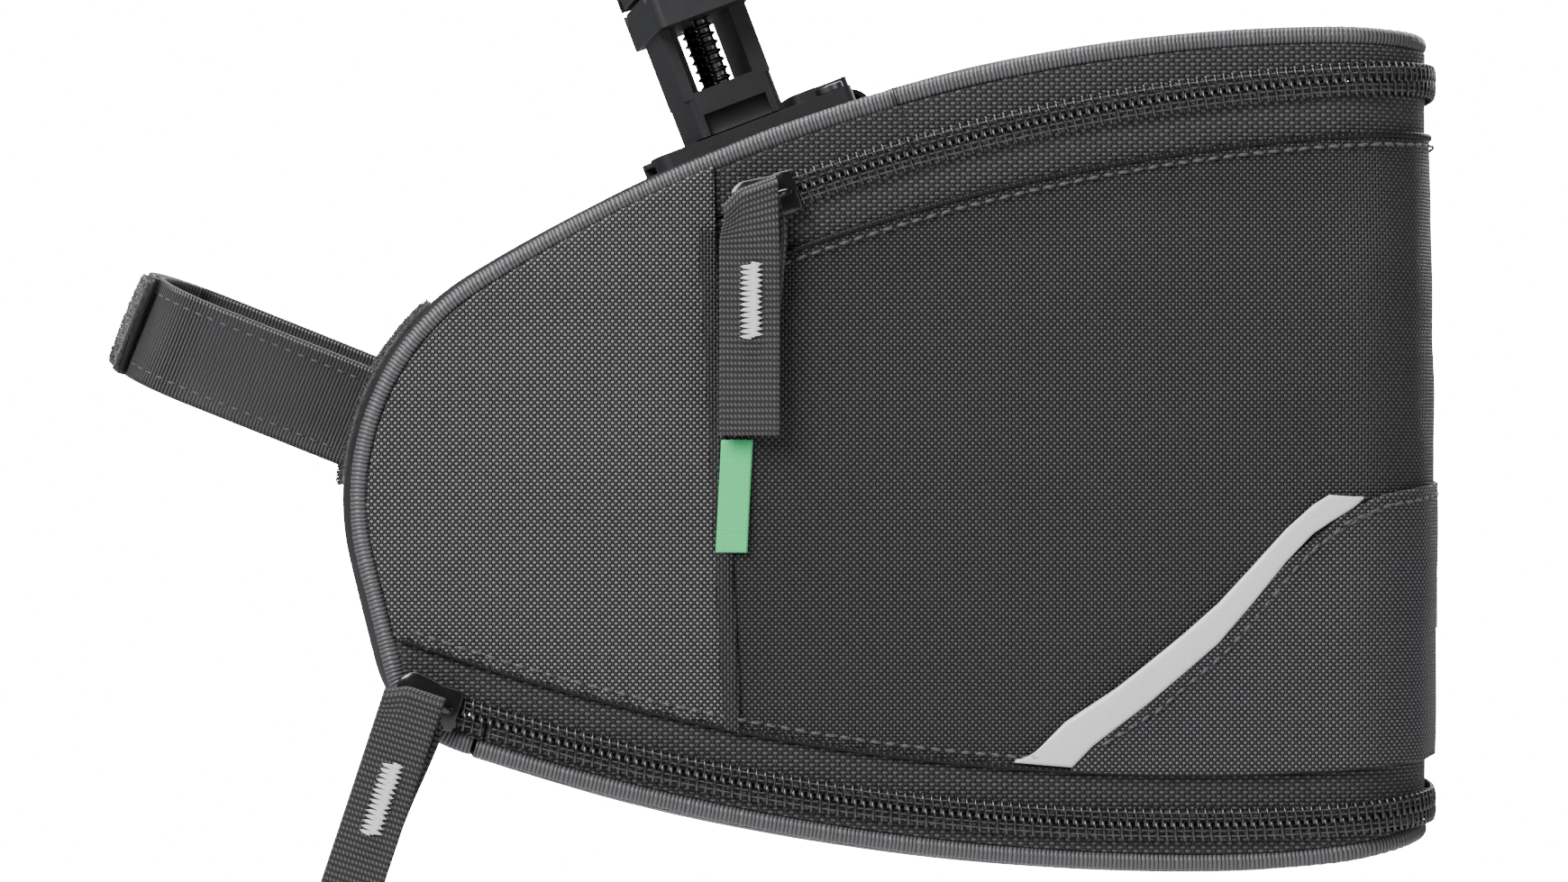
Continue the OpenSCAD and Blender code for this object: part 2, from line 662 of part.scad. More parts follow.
module main_tab() { on_main_slider() tab(main_lean, tab_len - tab_rise); }
module main_tab_bartack() { on_main_slider() tab_bartack(main_lean, 30 - tab_rise); }
module base_tab() { on_base_slider() tab(0); }
module base_tab_bartack() { on_base_slider() tab_bartack(0); }

// ---------- seatpost strap ----------

strap_root = [3, 88.5];
strap_tilt = 21.8;
strap_roll = -6;
strap_t = 1.6;
loop_r = 15.4;            // outer radius of the inner strap round the seatpost
loop_reach = 31.5;
module on_strap() {
    in_row() translate([strap_root[0], 0, strap_root[1]]) rotate([0, 180 + strap_tilt, 0]) rotate([strap_roll, 0, 0]) children();
}
module strap_band(w = strap_w) { linear_extrude(height = w, center = true) children(); }

module strap_anchor() {
    color("#151516") in_row() intersection() {
        across(36) difference() {
            intersection() { polygon(outline(-1.3)); translate([-20, 74]) square([60, 36]); }
            polygon(outline(0));
        }
        upright() polygon(plan(edge + 0.6));
    }
}
module strap_ring(r0, r1, a0, a1) { polygon(concat(arc([loop_reach, 0], r1, a0, a1, 16), arc([loop_reach, 0], r0, a1, a0, 16))); }
module strap_inner() {
    color("#2b2b2d") difference() {
        on_strap() strap_band() union() {
            translate([-12, -loop_r]) square([loop_reach + 12.2, strap_t]);
            strap_ring(loop_r - strap_t, loop_r, -90, 62);
        }
        in_row() across() polygon(outline(-1.3));
    }
}
outer_r = loop_r + 0.5;
peel_x = 9;               // the outer strap peels back from here
module strap_stub() {
    color("#202022") difference() {
        on_strap() strap_band() translate([-12, outer_r]) square([peel_x - 1.6 + 12, strap_t]);
        in_row() across() polygon(outline(-1.3));
    }
}
module strap_outer() {
    color("#202022") on_strap() strap_band() union() {
        translate([peel_x, outer_r]) square([loop_reach - peel_x + 0.3, strap_t]);
        strap_ring(outer_r, outer_r + strap_t, -28, 90);
    }
}
module strap_hook_patch() {
    color("#101010") on_strap() strap_band(strap_w - 3) polygon(concat(
        arc([loop_reach, 0], outer_r + strap_t + 0.5, 20, -24, 6),
        arc([loop_reach, 0], outer_r + strap_t + 0.06, -24, 20, 6)));
}

// ---------- all nodes ----------

clamp_tower();
lower_jaw();
upper_jaw();
jaw_washers();
screw_left();
screw_right();
base_socket();
socket_screws();
backing_plate();
release_tongue();
spine_panel();
front_panel_left();
front_panel_right();
wrap_panel();
corner_patch();
reflector_left();
reflector_right();
reflector_rear();
side_label();
light_loop();
light_loop_bartacks();
piping_left();
piping_right();
main_tape_lower();
main_coil_lower();
main_tape_front();
main_coil_front();
base_tape_upper();
base_coil_upper();
base_tape_front();
base_coil_front();
strap_anchor();
strap_inner();
strap_stub();
strap_outer();
strap_hook_patch();
lid_panel();
lid_tape();
lid_coil();
lid_piping();
tray_panel();
tray_tape();
tray_coil();
tray_piping();
tray_gusset();
tray_board();
main_slider();
main_tab();
main_tab_bartack();
base_slider();
base_tab();
base_tab_bartack();
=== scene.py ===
"""Looks for the bicycle saddle bag: cloth shell, zips, webbing, clamp, light and camera."""
import json
import random
from math import acos, asin, atan2, copysign, cos, degrees, dist, exp, hypot, pi, radians, sin, sqrt, tan

import bmesh
import bpy
from mathutils import Matrix, Vector, noise


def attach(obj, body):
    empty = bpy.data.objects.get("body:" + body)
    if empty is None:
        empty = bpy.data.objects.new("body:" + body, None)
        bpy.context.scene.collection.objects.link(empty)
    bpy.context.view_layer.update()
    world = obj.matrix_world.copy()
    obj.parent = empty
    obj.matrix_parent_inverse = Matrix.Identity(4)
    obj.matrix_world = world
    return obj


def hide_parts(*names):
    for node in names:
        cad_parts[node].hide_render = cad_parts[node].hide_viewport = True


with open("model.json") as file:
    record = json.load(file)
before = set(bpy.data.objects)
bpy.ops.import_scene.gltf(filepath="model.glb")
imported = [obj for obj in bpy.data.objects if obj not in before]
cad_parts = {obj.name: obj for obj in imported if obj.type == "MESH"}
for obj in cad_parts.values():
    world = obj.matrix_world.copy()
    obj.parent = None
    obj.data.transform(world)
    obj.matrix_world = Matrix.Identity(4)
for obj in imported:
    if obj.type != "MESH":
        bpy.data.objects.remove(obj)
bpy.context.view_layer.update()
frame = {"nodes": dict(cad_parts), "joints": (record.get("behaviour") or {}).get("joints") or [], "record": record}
JOINTS = {j["name"]: j for j in frame["joints"]}
MM = 0.001
random.seed(7)

# ---------- where the bag is ----------
# Lengths below are millimetres in bag coordinates: X = 0 at the nose, Z = 0 at the keel.

LID_HINGE = (104.0, 150.524)
TRAY_HINGE = (24.0, 22.006)
ORIGIN = Vector(JOINTS["lid_hinge"]["pos_m"]) - Vector((LID_HINGE[0], 0, LID_HINGE[1])) * MM
TAPER = radians(6.5)
HALF_FRONT = 30.0
REAR_X = 214.0
CORNER_R = 22.0
BOW_R = 160.0
BOW_X = REAR_X - BOW_R
TOP = (188.8, -146.3, 308.7)
NOSE_R = 51.0
KEEL = (163.0, 450.0, 450.0)
HEEL_R = 200.0
CHIN_R = 22.0
CHIN_X = 28.0
MAIN_ZIP = (213.6, -238.4, 391.0)
BASE_ZIP = (160.0, 469.3, 460.0)
MAIN_HEM = -10.2
BASE_HEM = 9.2
EDGE = 4.0
FINE = 30
LID_CUT = radians(17)
TRAY_CUT = radians(-16.5)


def row(x, y, z):
    """Bag millimetres to metres in the row frame."""
    return ORIGIN + Vector((x, y, z)) * MM


def on_arc(centre, radius, degrees):
    a = radians(degrees)
    return (centre[0] + radius * cos(a), centre[1] + radius * sin(a))


def arc_points(centre, radius, a0, a1, n):
    return [on_arc(centre, radius, a0 + (a1 - a0) * i / n) for i in range(n + 1)]


def arc_height(centre, radius, x):
    return centre[1] + copysign(sqrt(radius * radius - (x - centre[0]) ** 2), radius)


def top_z(x, d=0.0):
    return arc_height(TOP, TOP[2] - d, x)


def keel_z(x, d=0.0):
    if x < KEEL[0]:
        return arc_height(KEEL, d - KEEL[2], x)
    return arc_height((KEEL[0], HEEL_R), d - HEEL_R, x)


def main_z(x, d=0.0):
    return arc_height(MAIN_ZIP, MAIN_ZIP[2] + d, x)


def base_z(x, d=0.0):
    return arc_height(BASE_ZIP, -BASE_ZIP[2] + d, x)


def side_outline(d, fine=3):
    """Side view of the shell from the top of the lid round the nose to the keel, drawn in by d."""
    nose = (NOSE_R, TOP[1] + sqrt((TOP[2] - NOSE_R) ** 2 - (NOSE_R - TOP[0]) ** 2))
    chin = (CHIN_X, KEEL[1] - sqrt((KEEL[2] - CHIN_R) ** 2 - (CHIN_X - KEEL[0]) ** 2))
    brow = degrees(atan2(nose[1] - TOP[1], nose[0] - TOP[0]))
    dx, dz = chin[0] - nose[0], chin[1] - nose[1]
    reach = degrees(acos((NOSE_R - CHIN_R) / hypot(dx, dz)))
    throat = 360 + degrees(atan2(dz, dx)) - reach
    jaw = 360 + degrees(atan2(chin[1] - KEEL[1], chin[0] - KEEL[0]))
    arcs = ((TOP, TOP[2], 90, brow, 24), (nose, NOSE_R, brow, throat, 14),
            (chin, CHIN_R, throat, jaw, 8), (KEEL, KEEL[2], jaw, 270, 14))
    return [p for centre, radius, a0, a1, n in arcs for p in arc_points(centre, radius - d, a0, a1, n * fine)]


# Plan view: side, rounded rear corner, shallow bow, corner, side.
CORNER_REACH = BOW_R - CORNER_R
CORNER_PHI = TAPER + asin((HALF_FRONT + BOW_X * tan(TAPER) - CORNER_R / cos(TAPER))
                               * cos(TAPER) / CORNER_REACH)
CORNER = (BOW_X + CORNER_REACH * cos(CORNER_PHI), CORNER_REACH * sin(CORNER_PHI))
SIDE_END = CORNER[0] - CORNER_R * sin(TAPER)
SIDE_LEN = SIDE_END / cos(TAPER)
TURN_LEN = CORNER_R * (pi / 2 + TAPER - CORNER_PHI)
HALF_LEN = SIDE_LEN + TURN_LEN + BOW_R * CORNER_PHI
GIRTH = 2 * HALF_LEN


def plan(s, d=0.0):
    """Point and outward normal at distance s along the plan, from the left side's front to the right's."""
    side = -1.0
    if s > HALF_LEN:
        s, side = GIRTH - s, 1.0
    if s <= SIDE_LEN:
        x, y = s * cos(TAPER), HALF_FRONT + s * sin(TAPER)
        nx, ny = -sin(TAPER), cos(TAPER)
    elif s <= SIDE_LEN + TURN_LEN:
        a = pi / 2 + TAPER - (s - SIDE_LEN) / CORNER_R
        nx, ny = cos(a), sin(a)
        x, y = CORNER[0] + CORNER_R * nx, CORNER[1] + CORNER_R * ny
    else:
        a = (HALF_LEN - s) / BOW_R
        nx, ny = cos(a), sin(a)
        x, y = BOW_X + BOW_R * nx, BOW_R * ny
    return (x - nx * d, side * (y - ny * d)), (nx, side * ny)


def side_s(x):
    """Distance along the plan at which the left side reaches x."""
    return x / cos(TAPER)


def shell(s, z, out=0.0):
    (x, y), _ = plan(s, -out)
    return row(x, y, z)


def side_half(x, d):
    return HALF_FRONT + x * tan(TAPER) - d / cos(TAPER)


# ---------- making pieces ----------

BAG_CENTRE = row(100, 0, 80)


def drift(*where):
    """Smooth noise from -1 to 1 at a place."""
    return noise.noise(Vector(where))


def finish_mesh(name, bm, material, smooth=True):
    mesh = bpy.data.meshes.new(name)
    bm.to_mesh(mesh)
    bm.free()
    for face in mesh.polygons:
        face.use_smooth = smooth
    piece = bpy.data.objects.new(name, mesh)
    bpy.context.scene.collection.objects.link(piece)
    mesh.materials.append(material)
    return piece


def modify(piece, kind, **settings):
    modifier = piece.modifiers.new(kind.title(), kind)
    for key, value in settings.items():
        setattr(modifier, key, value)


def settle(piece, body, slot, *nodes):
    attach(piece, body)
    if nodes:
        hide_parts(*nodes)
    return piece


def cloth(name, across, along, place, material, thick=0.0, centre=None, offset=-1.0):
    """A sheet from a grid. place(u, v) gives its point and its cloth coordinates in millimetres."""
    bm = bmesh.new()
    layer = bm.verts.layers.float_vector.new("cloth")
    bmesh.ops.create_grid(bm, x_segments=across, y_segments=along, size=0.5)
    for vert in bm.verts:
        point, where = place(vert.co.x + 0.5, vert.co.y + 0.5)
        vert.co = point
        vert[layer] = (where[0], where[1], 0)
    bmesh.ops.remove_doubles(bm, verts=bm.verts, dist=0.00001)
    bm.normal_update()
    centre = centre or BAG_CENTRE
    facing = sum(f.normal.dot(f.calc_center_median() - centre) * f.calc_area() for f in bm.faces)
    if facing < 0:
        bmesh.ops.reverse_faces(bm, faces=bm.faces)
    piece = finish_mesh(name, bm, material)
    if thick:
        modify(piece, "SOLIDIFY", thickness=thick * MM, offset=offset, use_even_offset=True)
    return piece


def path_frames(points, normals):
    """Position, tangent, outward normal and upward side at each point of a path."""
    frames = []
    last = len(points) - 1
    for i, point in enumerate(points):
        t = (points[min(i + 1, last)] - points[max(i - 1, 0)]).normalized()
        n = (normals[i] - t * normals[i].dot(t)).normalized()
        frames.append((point, t, n, t.cross(n)))
    return frames


def spaced(points, normals, step):
    """Resample a path to an even step, in metres."""
    out_p, out_n = [points[0].copy()], [normals[0].copy()]
    want, run = step, 0.0
    for a, b, na, nb in zip(points, points[1:], normals, normals[1:]):
        length = (b - a).length
        while length and run + length >= want:
            k = (want - run) / length
            out_p.append(a.lerp(b, k))
            out_n.append(na.lerp(nb, k).normalized())
            want += step
        run += length
    return out_p, out_n


def axes(origin, x, y, z):
    matrix = Matrix((x, y, z)).transposed().to_4x4()
    matrix.translation = origin
    return matrix


def tube(bm, points, normals, radius, sides=8, squash=1.0):
    """A cord swept along a path: a ring is extruded from station to station. radius may be a function."""
    layer = bm.verts.layers.float_vector.get("cloth") or bm.verts.layers.float_vector.new("cloth")
    frames = path_frames(points, normals)
    size = radius if callable(radius) else (lambda i: radius)
    ring = bmesh.ops.create_circle(bm, segments=sides, radius=1.0, cap_ends=True)["verts"]
    edges = list({e for v in ring for e in v.link_edges})
    before = Matrix.Identity(4)
    travelled = 0.0
    for i, (point, t, n, b) in enumerate(frames):
        r = size(i) * MM
        here = axes(point, b * r, n * r * squash, t * r)
        if i:
            grown = bmesh.ops.extrude_edge_only(bm, edges=edges)["geom"]
            ring = [g for g in grown if isinstance(g, bmesh.types.BMVert)]
            edges = [g for g in grown if isinstance(g, bmesh.types.BMEdge)]
            travelled += (point - frames[i - 1][0]).length / MM
        bmesh.ops.transform(bm, matrix=here @ before.inverted(), verts=ring)
        for vert in ring:
            vert[layer] = (travelled, 0, 0)
        before = here
    bmesh.ops.contextual_create(bm, geom=edges)


def cord_piece(name, points, normals, radius, material, sides=8, squash=1.0):
    bm = bmesh.new()
    tube(bm, points, normals, radius, sides, squash)
    bmesh.ops.recalc_face_normals(bm, faces=bm.faces)
    return finish_mesh(name, bm, material)


def template(build):
    bm = bmesh.new()
    build(bm)
    bmesh.ops.recalc_face_normals(bm, faces=bm.faces)
    mesh = bpy.data.meshes.new("template")
    bm.to_mesh(mesh)
    bm.free()
    return mesh


def scattered(name, shape, places, material):
    """One piece made of many copies of a small shape."""
    bm = bmesh.new()
    bm.verts.layers.float_vector.new("cloth")
    for place in places:
        first = len(bm.verts)
        bm.from_mesh(shape)
        bm.verts.ensure_lookup_table()
        bmesh.ops.transform(bm, matrix=place, verts=bm.verts[first:])
    return finish_mesh(name, bm, material)


def refined(name, node, material, width):
    """A copy of a hard CAD piece with its doubles merged and its edges softened."""
    source = frame["nodes"][node]
    bm = bmesh.new()
    bm.from_mesh(source.data)
    bmesh.ops.remove_doubles(bm, verts=bm.verts, dist=0.00001)
    bmesh.ops.dissolve_limit(bm, angle_limit=radians(1.0), verts=bm.verts, edges=bm.edges)
    piece = finish_mesh(name, bm, material, smooth=False)
    modify(piece, "BEVEL", width=width * MM, segments=2, limit_method="ANGLE",
           angle_limit=radians(40), harden_normals=False, use_clamp_overlap=True)
    piece.data.shade_smooth()
    piece.data.set_sharp_from_angle(angle=radians(30))
    return piece


# ---------- materials ----------


def linear(hex_colour):
    values = [int(hex_colour[i:i + 2], 16) / 255 for i in (1, 3, 5)]
    return [v / 12.92 if v <= 0.04045 else ((v + 0.055) / 1.055) ** 2.4 for v in values] + [1.0]


def add(tree, kind, settings=None, *values, **links):
    """Adds a node with its settings, or its operation. An input takes a node, a socket or a plain value."""
    new = tree.nodes.new("ShaderNode" + kind)
    settings = {"operation": settings} if isinstance(settings, str) else settings or {}
    for key, value in settings.items():
        setattr(new, key, value)
    for key, value in {**dict(enumerate(values)), **links}.items():
        if isinstance(key, str):
            key = int(key[1:]) if key[1:].isdigit() else key.replace("_", " ")
        if isinstance(value, bpy.types.Node):
            value = value.outputs[0]
        if isinstance(value, bpy.types.NodeSocket):
            tree.links.new(value, new.inputs[key])
        else:
            new.inputs[key].default_value = value
    return new


def material(name, colour, roughness, metallic=0.0, **sockets):
    made = bpy.data.materials.new(name)
    made.use_nodes = True
    tree = made.node_tree
    shader = tree.nodes["Principled BSDF"]
    shader.inputs["Base Color"].default_value = linear(colour)
    shader.inputs["Roughness"].default_value = roughness
    shader.inputs["Metallic"].default_value = metallic
    for key, value in sockets.items():
        shader.inputs[key.replace("_", " ")].default_value = value
    return made, tree, shader


def relief(tree, shader, height, depth_mm, strength=1.0):
    bump = add(tree, "Bump", Strength=strength, Distance=depth_mm * MM, Height=height)
    tree.links.new(bump.outputs[0], shader.inputs["Normal"])


def two_tone(tree, shader, factor, dark, light):
    mix = add(tree, "Mix", {"data_type": "RGBA"}, i0=factor, i6=linear(dark), i7=linear(light))
    tree.links.new(mix.outputs[2], shader.inputs["Base Color"])


def cloth_axes(tree, pitch_x, pitch_y):
    """Cloth coordinates counted in threads."""
    where = add(tree, "Attribute", {"attribute_name": "cloth"}).outputs["Vector"]
    parts = add(tree, "SeparateXYZ", Vector=where)
    x, y = (add(tree, "Math", "DIVIDE", parts.outputs[i], pitch) for i, pitch in enumerate((pitch_x, pitch_y)))
    return x, y, where


def humps(tree, threads):
    """Round tops, one for each thread."""
    wave = add(tree, "Math", "SINE", add(tree, "Math", "MULTIPLY", threads, pi))
    return add(tree, "Math", "ABSOLUTE", wave)


def plain_weave(tree, pitch_x, pitch_y):
    """Over-and-under threads: their height from 0 to 1, which set is on top, and the cloth coordinates."""
    x, y, where = cloth_axes(tree, pitch_x, pitch_y)
    cells = add(tree, "Math", "ADD", add(tree, "Math", "FLOOR", x), add(tree, "Math", "FLOOR", y))
    over = add(tree, "Math", "MODULO", add(tree, "Math", "ABSOLUTE", cells), 2.0)
    hx, hy = humps(tree, x), humps(tree, y)
    warp, weft = (add(tree, "Math", "MULTIPLY", top, add(tree, "Math", "MULTIPLY_ADD", side, 0.55, 0.45))
                  for top, side in ((hx, hy), (hy, hx)))
    return add(tree, "Mix", {"data_type": "FLOAT"}, i0=over, i2=warp, i3=weft), over, where


def speckle(tree, where, scale_mm, detail=2.0):
    noise_node = add(tree, "TexNoise", Vector=where, Scale=1.0 / scale_mm, Detail=detail, Roughness=0.6)
    return noise_node.outputs["Fac"]


def object_noise(tree, scale_mm, detail=3.0):
    where = add(tree, "TexCoord").outputs["Object"]
    noise_node = add(tree, "TexNoise", Vector=where, Scale=1.0 / (scale_mm * MM), Detail=detail, Roughness=0.55)
    return noise_node.outputs["Fac"]


def painted_thread_light(tree, weave, power, sets, scale_mm, spread):
    """Painted light on the threads: round tops made pale as painted highlight and the gaps between them dark as
    painted shade, one set paler than the other, and unevenly dyed.
    """
    height, over, where = weave
    paler = add(tree, "Math", "MULTIPLY_ADD", over, *sets)
    uneven = add(tree, "Math", "MULTIPLY_ADD", speckle(tree, where, scale_mm), *spread)
    rounded = add(tree, "Math", "POWER", height, power)
    return add(tree, "Math", "MULTIPLY", rounded, add(tree, "Math", "MULTIPLY", paler, uneven))


def woven_cloth(name, high):
    """Polyester plain weave from 0.65 mm threads: fine grey dots where threads cross, which are painted highlight,
    and black between them, which is painted shade.
    """
    made, tree, shader = material(name, high, 0.42, Specular_IOR_Level=0.4, Sheen_Weight=0.05,
                                  Sheen_Roughness=0.4)
    weave = plain_weave(tree, 0.65, 0.65)
    # Colour from thread height: painted highlight on the thread tops, painted shade in the gaps between threads.
    two_tone(tree, shader, painted_thread_light(tree, weave, 1.7, (1.35, 0.12), 1.4, (1.3, 0.4)), "#030303", high)
    relief(tree, shader, weave[0], 0.3, 1.0)
    return made


def zip_tape():
    """Knitted polyester tape, ribs 1 mm apart: coarser and blacker than the cloth."""
    made, tree, shader = material("knitted_polyester_tape", "#2a292a", 0.62, Sheen_Weight=0.1)
    weave = plain_weave(tree, 1.0, 0.75)
    # Colour from thread height: painted highlight on the thread tops and painted shade between them.
    two_tone(tree, shader, painted_thread_light(tree, weave, 2.0, (1.3, 0.2), 1.6, (2.0, 0.0)), "#040304", "#5e5b59")
    relief(tree, shader, weave[0], 0.35, 1.0)
    return made


def ribbed_webbing(name, rib, thread, low, high, rough=0.5, depth=0.3, beads=0.5):
    """Nylon or polyester webbing: raised cross ribs, each a row of beads where threads pass over the weft."""
    made, tree, shader = material(name, high, rough, Sheen_Weight=0.15)
    x, y, where = cloth_axes(tree, rib, thread)
    beaded_rib = add(tree, "Math", "MULTIPLY_ADD", humps(tree, y), beads, 1 - beads)
    height = add(tree, "Math", "MULTIPLY", humps(tree, x), beaded_rib)
    uneven = add(tree, "Math", "ADD", speckle(tree, where, 0.7), 0.6)
    # Colour from bead height: painted highlight on the beads and painted shade in the gaps between ribs.
    painted_rib_light = add(tree, "Math", "MULTIPLY", add(tree, "Math", "POWER", height, 3.0), uneven)
    two_tone(tree, shader, painted_rib_light, low, high)
    relief(tree, shader, height, depth, 0.9)
    return made


def grained(name, colour, roughness, tones=None, grain=None, **sockets):
    """A surface without a weave. tones: patch size, detail and two colours. grain: size, detail, depth, strength."""
    made, tree, shader = material(name, colour, roughness, **sockets)
    if tones:
        size, detail, dark, light = tones
        two_tone(tree, shader, object_noise(tree, size, detail), dark, light)
    if grain:
        size, detail, depth, strength = grain
        relief(tree, shader, object_noise(tree, size, detail), depth, strength)
    return made


def covered_cord():
    """Piping: coated cloth drawn round a cord, with ribs across it every 0.8 mm."""
    made, tree, shader = material("piping_coated_polyester", "#343336", 0.4, Coat_Weight=0.1,
                                  Coat_Roughness=0.3)
    x, y, where = cloth_axes(tree, 0.8, 1.0)
    wobble = add(tree, "Math", "MULTIPLY", speckle(tree, where, 3.0), 1.2)
    ribs = humps(tree, add(tree, "Math", "ADD", x, wobble))
    # Colour from rib height: painted highlight on the rib tops and painted shade between the ribs.
    two_tone(tree, shader, ribs, "#151416", "#615f62")
    relief(tree, shader, ribs, 0.22, 0.8)
    return made


def woven_label():
    """Damask-woven polyester label: satiny pale green, plain."""
    made, tree, shader = material("damask_label", "#5ecb86", 0.45, Sheen_Weight=0.2)
    height = plain_weave(tree, 0.35, 0.35)[0]
    # Colour from thread height: paler thread tops as painted highlight and darker gaps as painted shade.
    two_tone(tree, shader, height, "#10b055", "#4ff098")
    relief(tree, shader, height, 0.1, 0.6)
    return made


# The same cloth in three brightnesses: the front panels' copy is paler and the corner overlay's copy in between,
# painted light standing in for the key lamp falling harder on them than on the wrap.
WOVEN = woven_cloth("polyester_plain_weave", "#565458")
LIT_FRONT_WOVEN = woven_cloth("polyester_plain_weave_painted_lit", "#8c8a8b")
MIDLIT_CORNER_WOVEN = woven_cloth("polyester_plain_weave_painted_midlit", "#737176")
TAPE = zip_tape()
WEBBING = ribbed_webbing("ribbed_nylon_webbing", 1.12, 0.74, "#020202", "#514d4b", depth=0.38)
STRAP = ribbed_webbing("grosgrain_polyester", 0.7, 0.5, "#050405", "#454245", 0.34, 0.14, 0.15)
PIPING = covered_cord()
LABEL = woven_label()
# Cloth with a smooth rubbery coating: faint grain and a soft wide highlight.
COATED = grained("coated_polyester", "#2c2b2e", 0.42, (6.0, 3.0, "#161518", "#252427"), (0.55, 4.0, 0.12, 0.5),
                 Coat_Weight=0.08, Coat_Roughness=0.35)
# Extruded nylon monofilament, dyed black: wet-looking highlights on every turn.
COIL = grained("nylon_monofilament", "#1a191a", 0.24, (2.5, 3.0, "#0c0b0c", "#272627"), Specular_IOR_Level=0.95)
# Zinc die casting with baked black gloss paint: sharp pale glints on its edges.
CASTING = grained("painted_zinc_casting", "#0b0b0c", 0.18, (3.0, 3.0, "#070708", "#161617"), (1.8, 3.0, 0.05, 0.4),
                  IOR=1.5, Coat_Weight=0.6, Coat_Roughness=0.08)
# Brushed nylon loop pile for hook-and-loop: matt, woolly and uneven.
PILE = grained("nylon_loop_pile", "#1c1b1c", 0.92, (0.7, 5.0, "#070707", "#3c3b3c"), (0.7, 5.0, 0.6, 1.0),
               Sheen_Weight=0.5, Sheen_Roughness=0.5)
# Glass-filled nylon from a spark-eroded mould: matt dark grey with a fine even grain.
MOULDED = grained("moulded_glass_filled_nylon", "#2b2b2d", 0.46, (4.0, 3.0, "#1b1b1d", "#29292b"),
                  (0.4, 2.0, 0.06, 0.6), IOR=1.52)
# Zinc-plated steel: dull bright metal with a fine grain.
STEEL_GRAIN = (0.5, 2.0, 0.02, 0.4)
SCREW = grained("dark_zinc_steel", "#6b6b6e", 0.35, None, STEEL_GRAIN, metallic=1.0)
WASHER = grained("bright_zinc_steel", "#a9a9ac", 0.3, None, STEEL_GRAIN, metallic=1.0)
# Glass-bead reflective tape: flat silver grey with a powdery grain.
SILVER = grained("glass_bead_tape", "#ececee", 0.4, (0.5, 2.0, "#dcdddf", "#f6f7f8"), (0.45, 2.0, 0.04, 0.5),
                 metallic=0.1)
# Twisted polyester thread: a soft shine.
THREAD_GRAIN = (0.3, 2.0, 0.05, 0.6)
BLACK_THREAD = grained("black_polyester_thread", "#4a484a", 0.5, None, THREAD_GRAIN, Sheen_Weight=0.2)
WHITE_THREAD = grained("white_polyester_thread", "#e6e4e2", 0.5, None, THREAD_GRAIN, Sheen_Weight=0.2)
# Rolled polypropylene sheet that keeps panels flat: smooth and slightly waxy.
SHEET = grained("polypropylene_sheet", "#4a4a4c", 0.5, None, (1.5, 2.0, 0.03, 0.4))

# ---------- shell cloth ----------


def seam_x(z):
    """Side seam, where the front panel laps over the wrap."""
    return 74.4 + (z - 24) * (68.6 - 74.4) / 116


def crease(s, z, size=1.0, seed=0.0):
    """How far the cloth stands out: slow swells and short puckers, in millimetres."""
    slow = drift(s / 34, z / 26, seed)
    quick = drift(s / 9, z / 13, seed + 5)
    return size * (0.8 * slow + 0.34 * quick)


def pull(distance, s, pitch, depth):
    """Puckers that run in from a stitched edge and die away."""
    return depth * exp(-distance / 4.5) * sin(2 * pi * s / pitch + 1.7 * sin(s / 23))


def smooth(t):
    t = min(1.0, max(0.0, t))
    return t * t * (3 - 2 * t)


def wrap_cloth():
    total = GIRTH
    start = side_s(69.5)

    def place(u, v):
        s = start + (total - 2 * start) * u
        (x, _), _ = plan(s)
        low, high = base_z(x, BASE_HEM), main_z(x, MAIN_HEM)
        z = low + (high - low) * v
        edge_s = min(s - start, total - start - s)
        if edge_s < 14:
            shift = (seam_x(z) - 69.5) / cos(TAPER) * (1 - edge_s / 14)
            s += shift if s < HALF_LEN else -shift
        rise, drop = z - low, high - z
        out = crease(s, z) * min(1, rise / 8, drop / 8) + pull(rise, s, 7.5, 0.24) + pull(drop, s, 8.5, 0.2)
        swell = 0.9 * sin(pi * v) * sin(pi * u) ** 0.5
        return shell(s, z, out * 0.7 + swell - 0.1), (s, z)

    return settle(cloth("wrap_cloth", 330, 96, place, WOVEN, 1.2), "bag", "woven_cloth", "wrap_panel")


def crossing(points, x):
    """Heights at which an outline crosses x, lowest and highest."""
    found = [a[1] + (b[1] - a[1]) * (x - a[0]) / (b[0] - a[0]) for a, b in zip(points, points[1:])
             if a[0] != b[0] and min(a[0], b[0]) <= x <= max(a[0], b[0])]
    return min(found), max(found)


FRONT_EDGE = side_outline(EDGE - 0.6)
FRONT_X0 = min(p[0] for p in FRONT_EDGE) + 0.02


def front_cloth(name, right):
    def place(u, v):
        reach = 1 - cos(u * pi / 2)
        x = FRONT_X0 + (71 - FRONT_X0) * reach
        low, high = crossing(FRONT_EDGE, x)
        low = max(low, base_z(x, BASE_HEM)) if x > 7 else low
        low = min(low, high)
        z = low + (high - low) * v
        x = FRONT_X0 + (seam_x(z) + 0.3 - FRONT_X0) * reach
        s = side_s(x)
        rise, drop = z - low, high - z
        out = crease(s + 200, z, 0.8, 3.0) * min(1, rise / 7, drop / 7, (1 - u) * 8 + 0.1)
        out += pull(drop, s, 6.5, 0.17) + pull(rise, s, 7.0, 0.22)
        out += 0.8 * sin(pi * v) * sin(pi * reach)
        s = GIRTH - s if right else s
        return shell(s, z, out + 0.15), (s, z)

    node = "front_panel_right" if right else "front_panel_left"
    # The front panels take the paler copy of the cloth: painted light.
    return settle(cloth(name, 90, 110, place, LIT_FRONT_WOVEN, 1.2), "bag", "woven_cloth", node)


def between_hinges(outline, past_lid, past_tray):
    """The part of an outline ahead of both hinges, running on a little past each."""
    return [p for p in outline if p[0] < LID_HINGE[0] + past_lid and (p[1] > 60 or p[0] < TRAY_HINGE[0] + past_tray)]


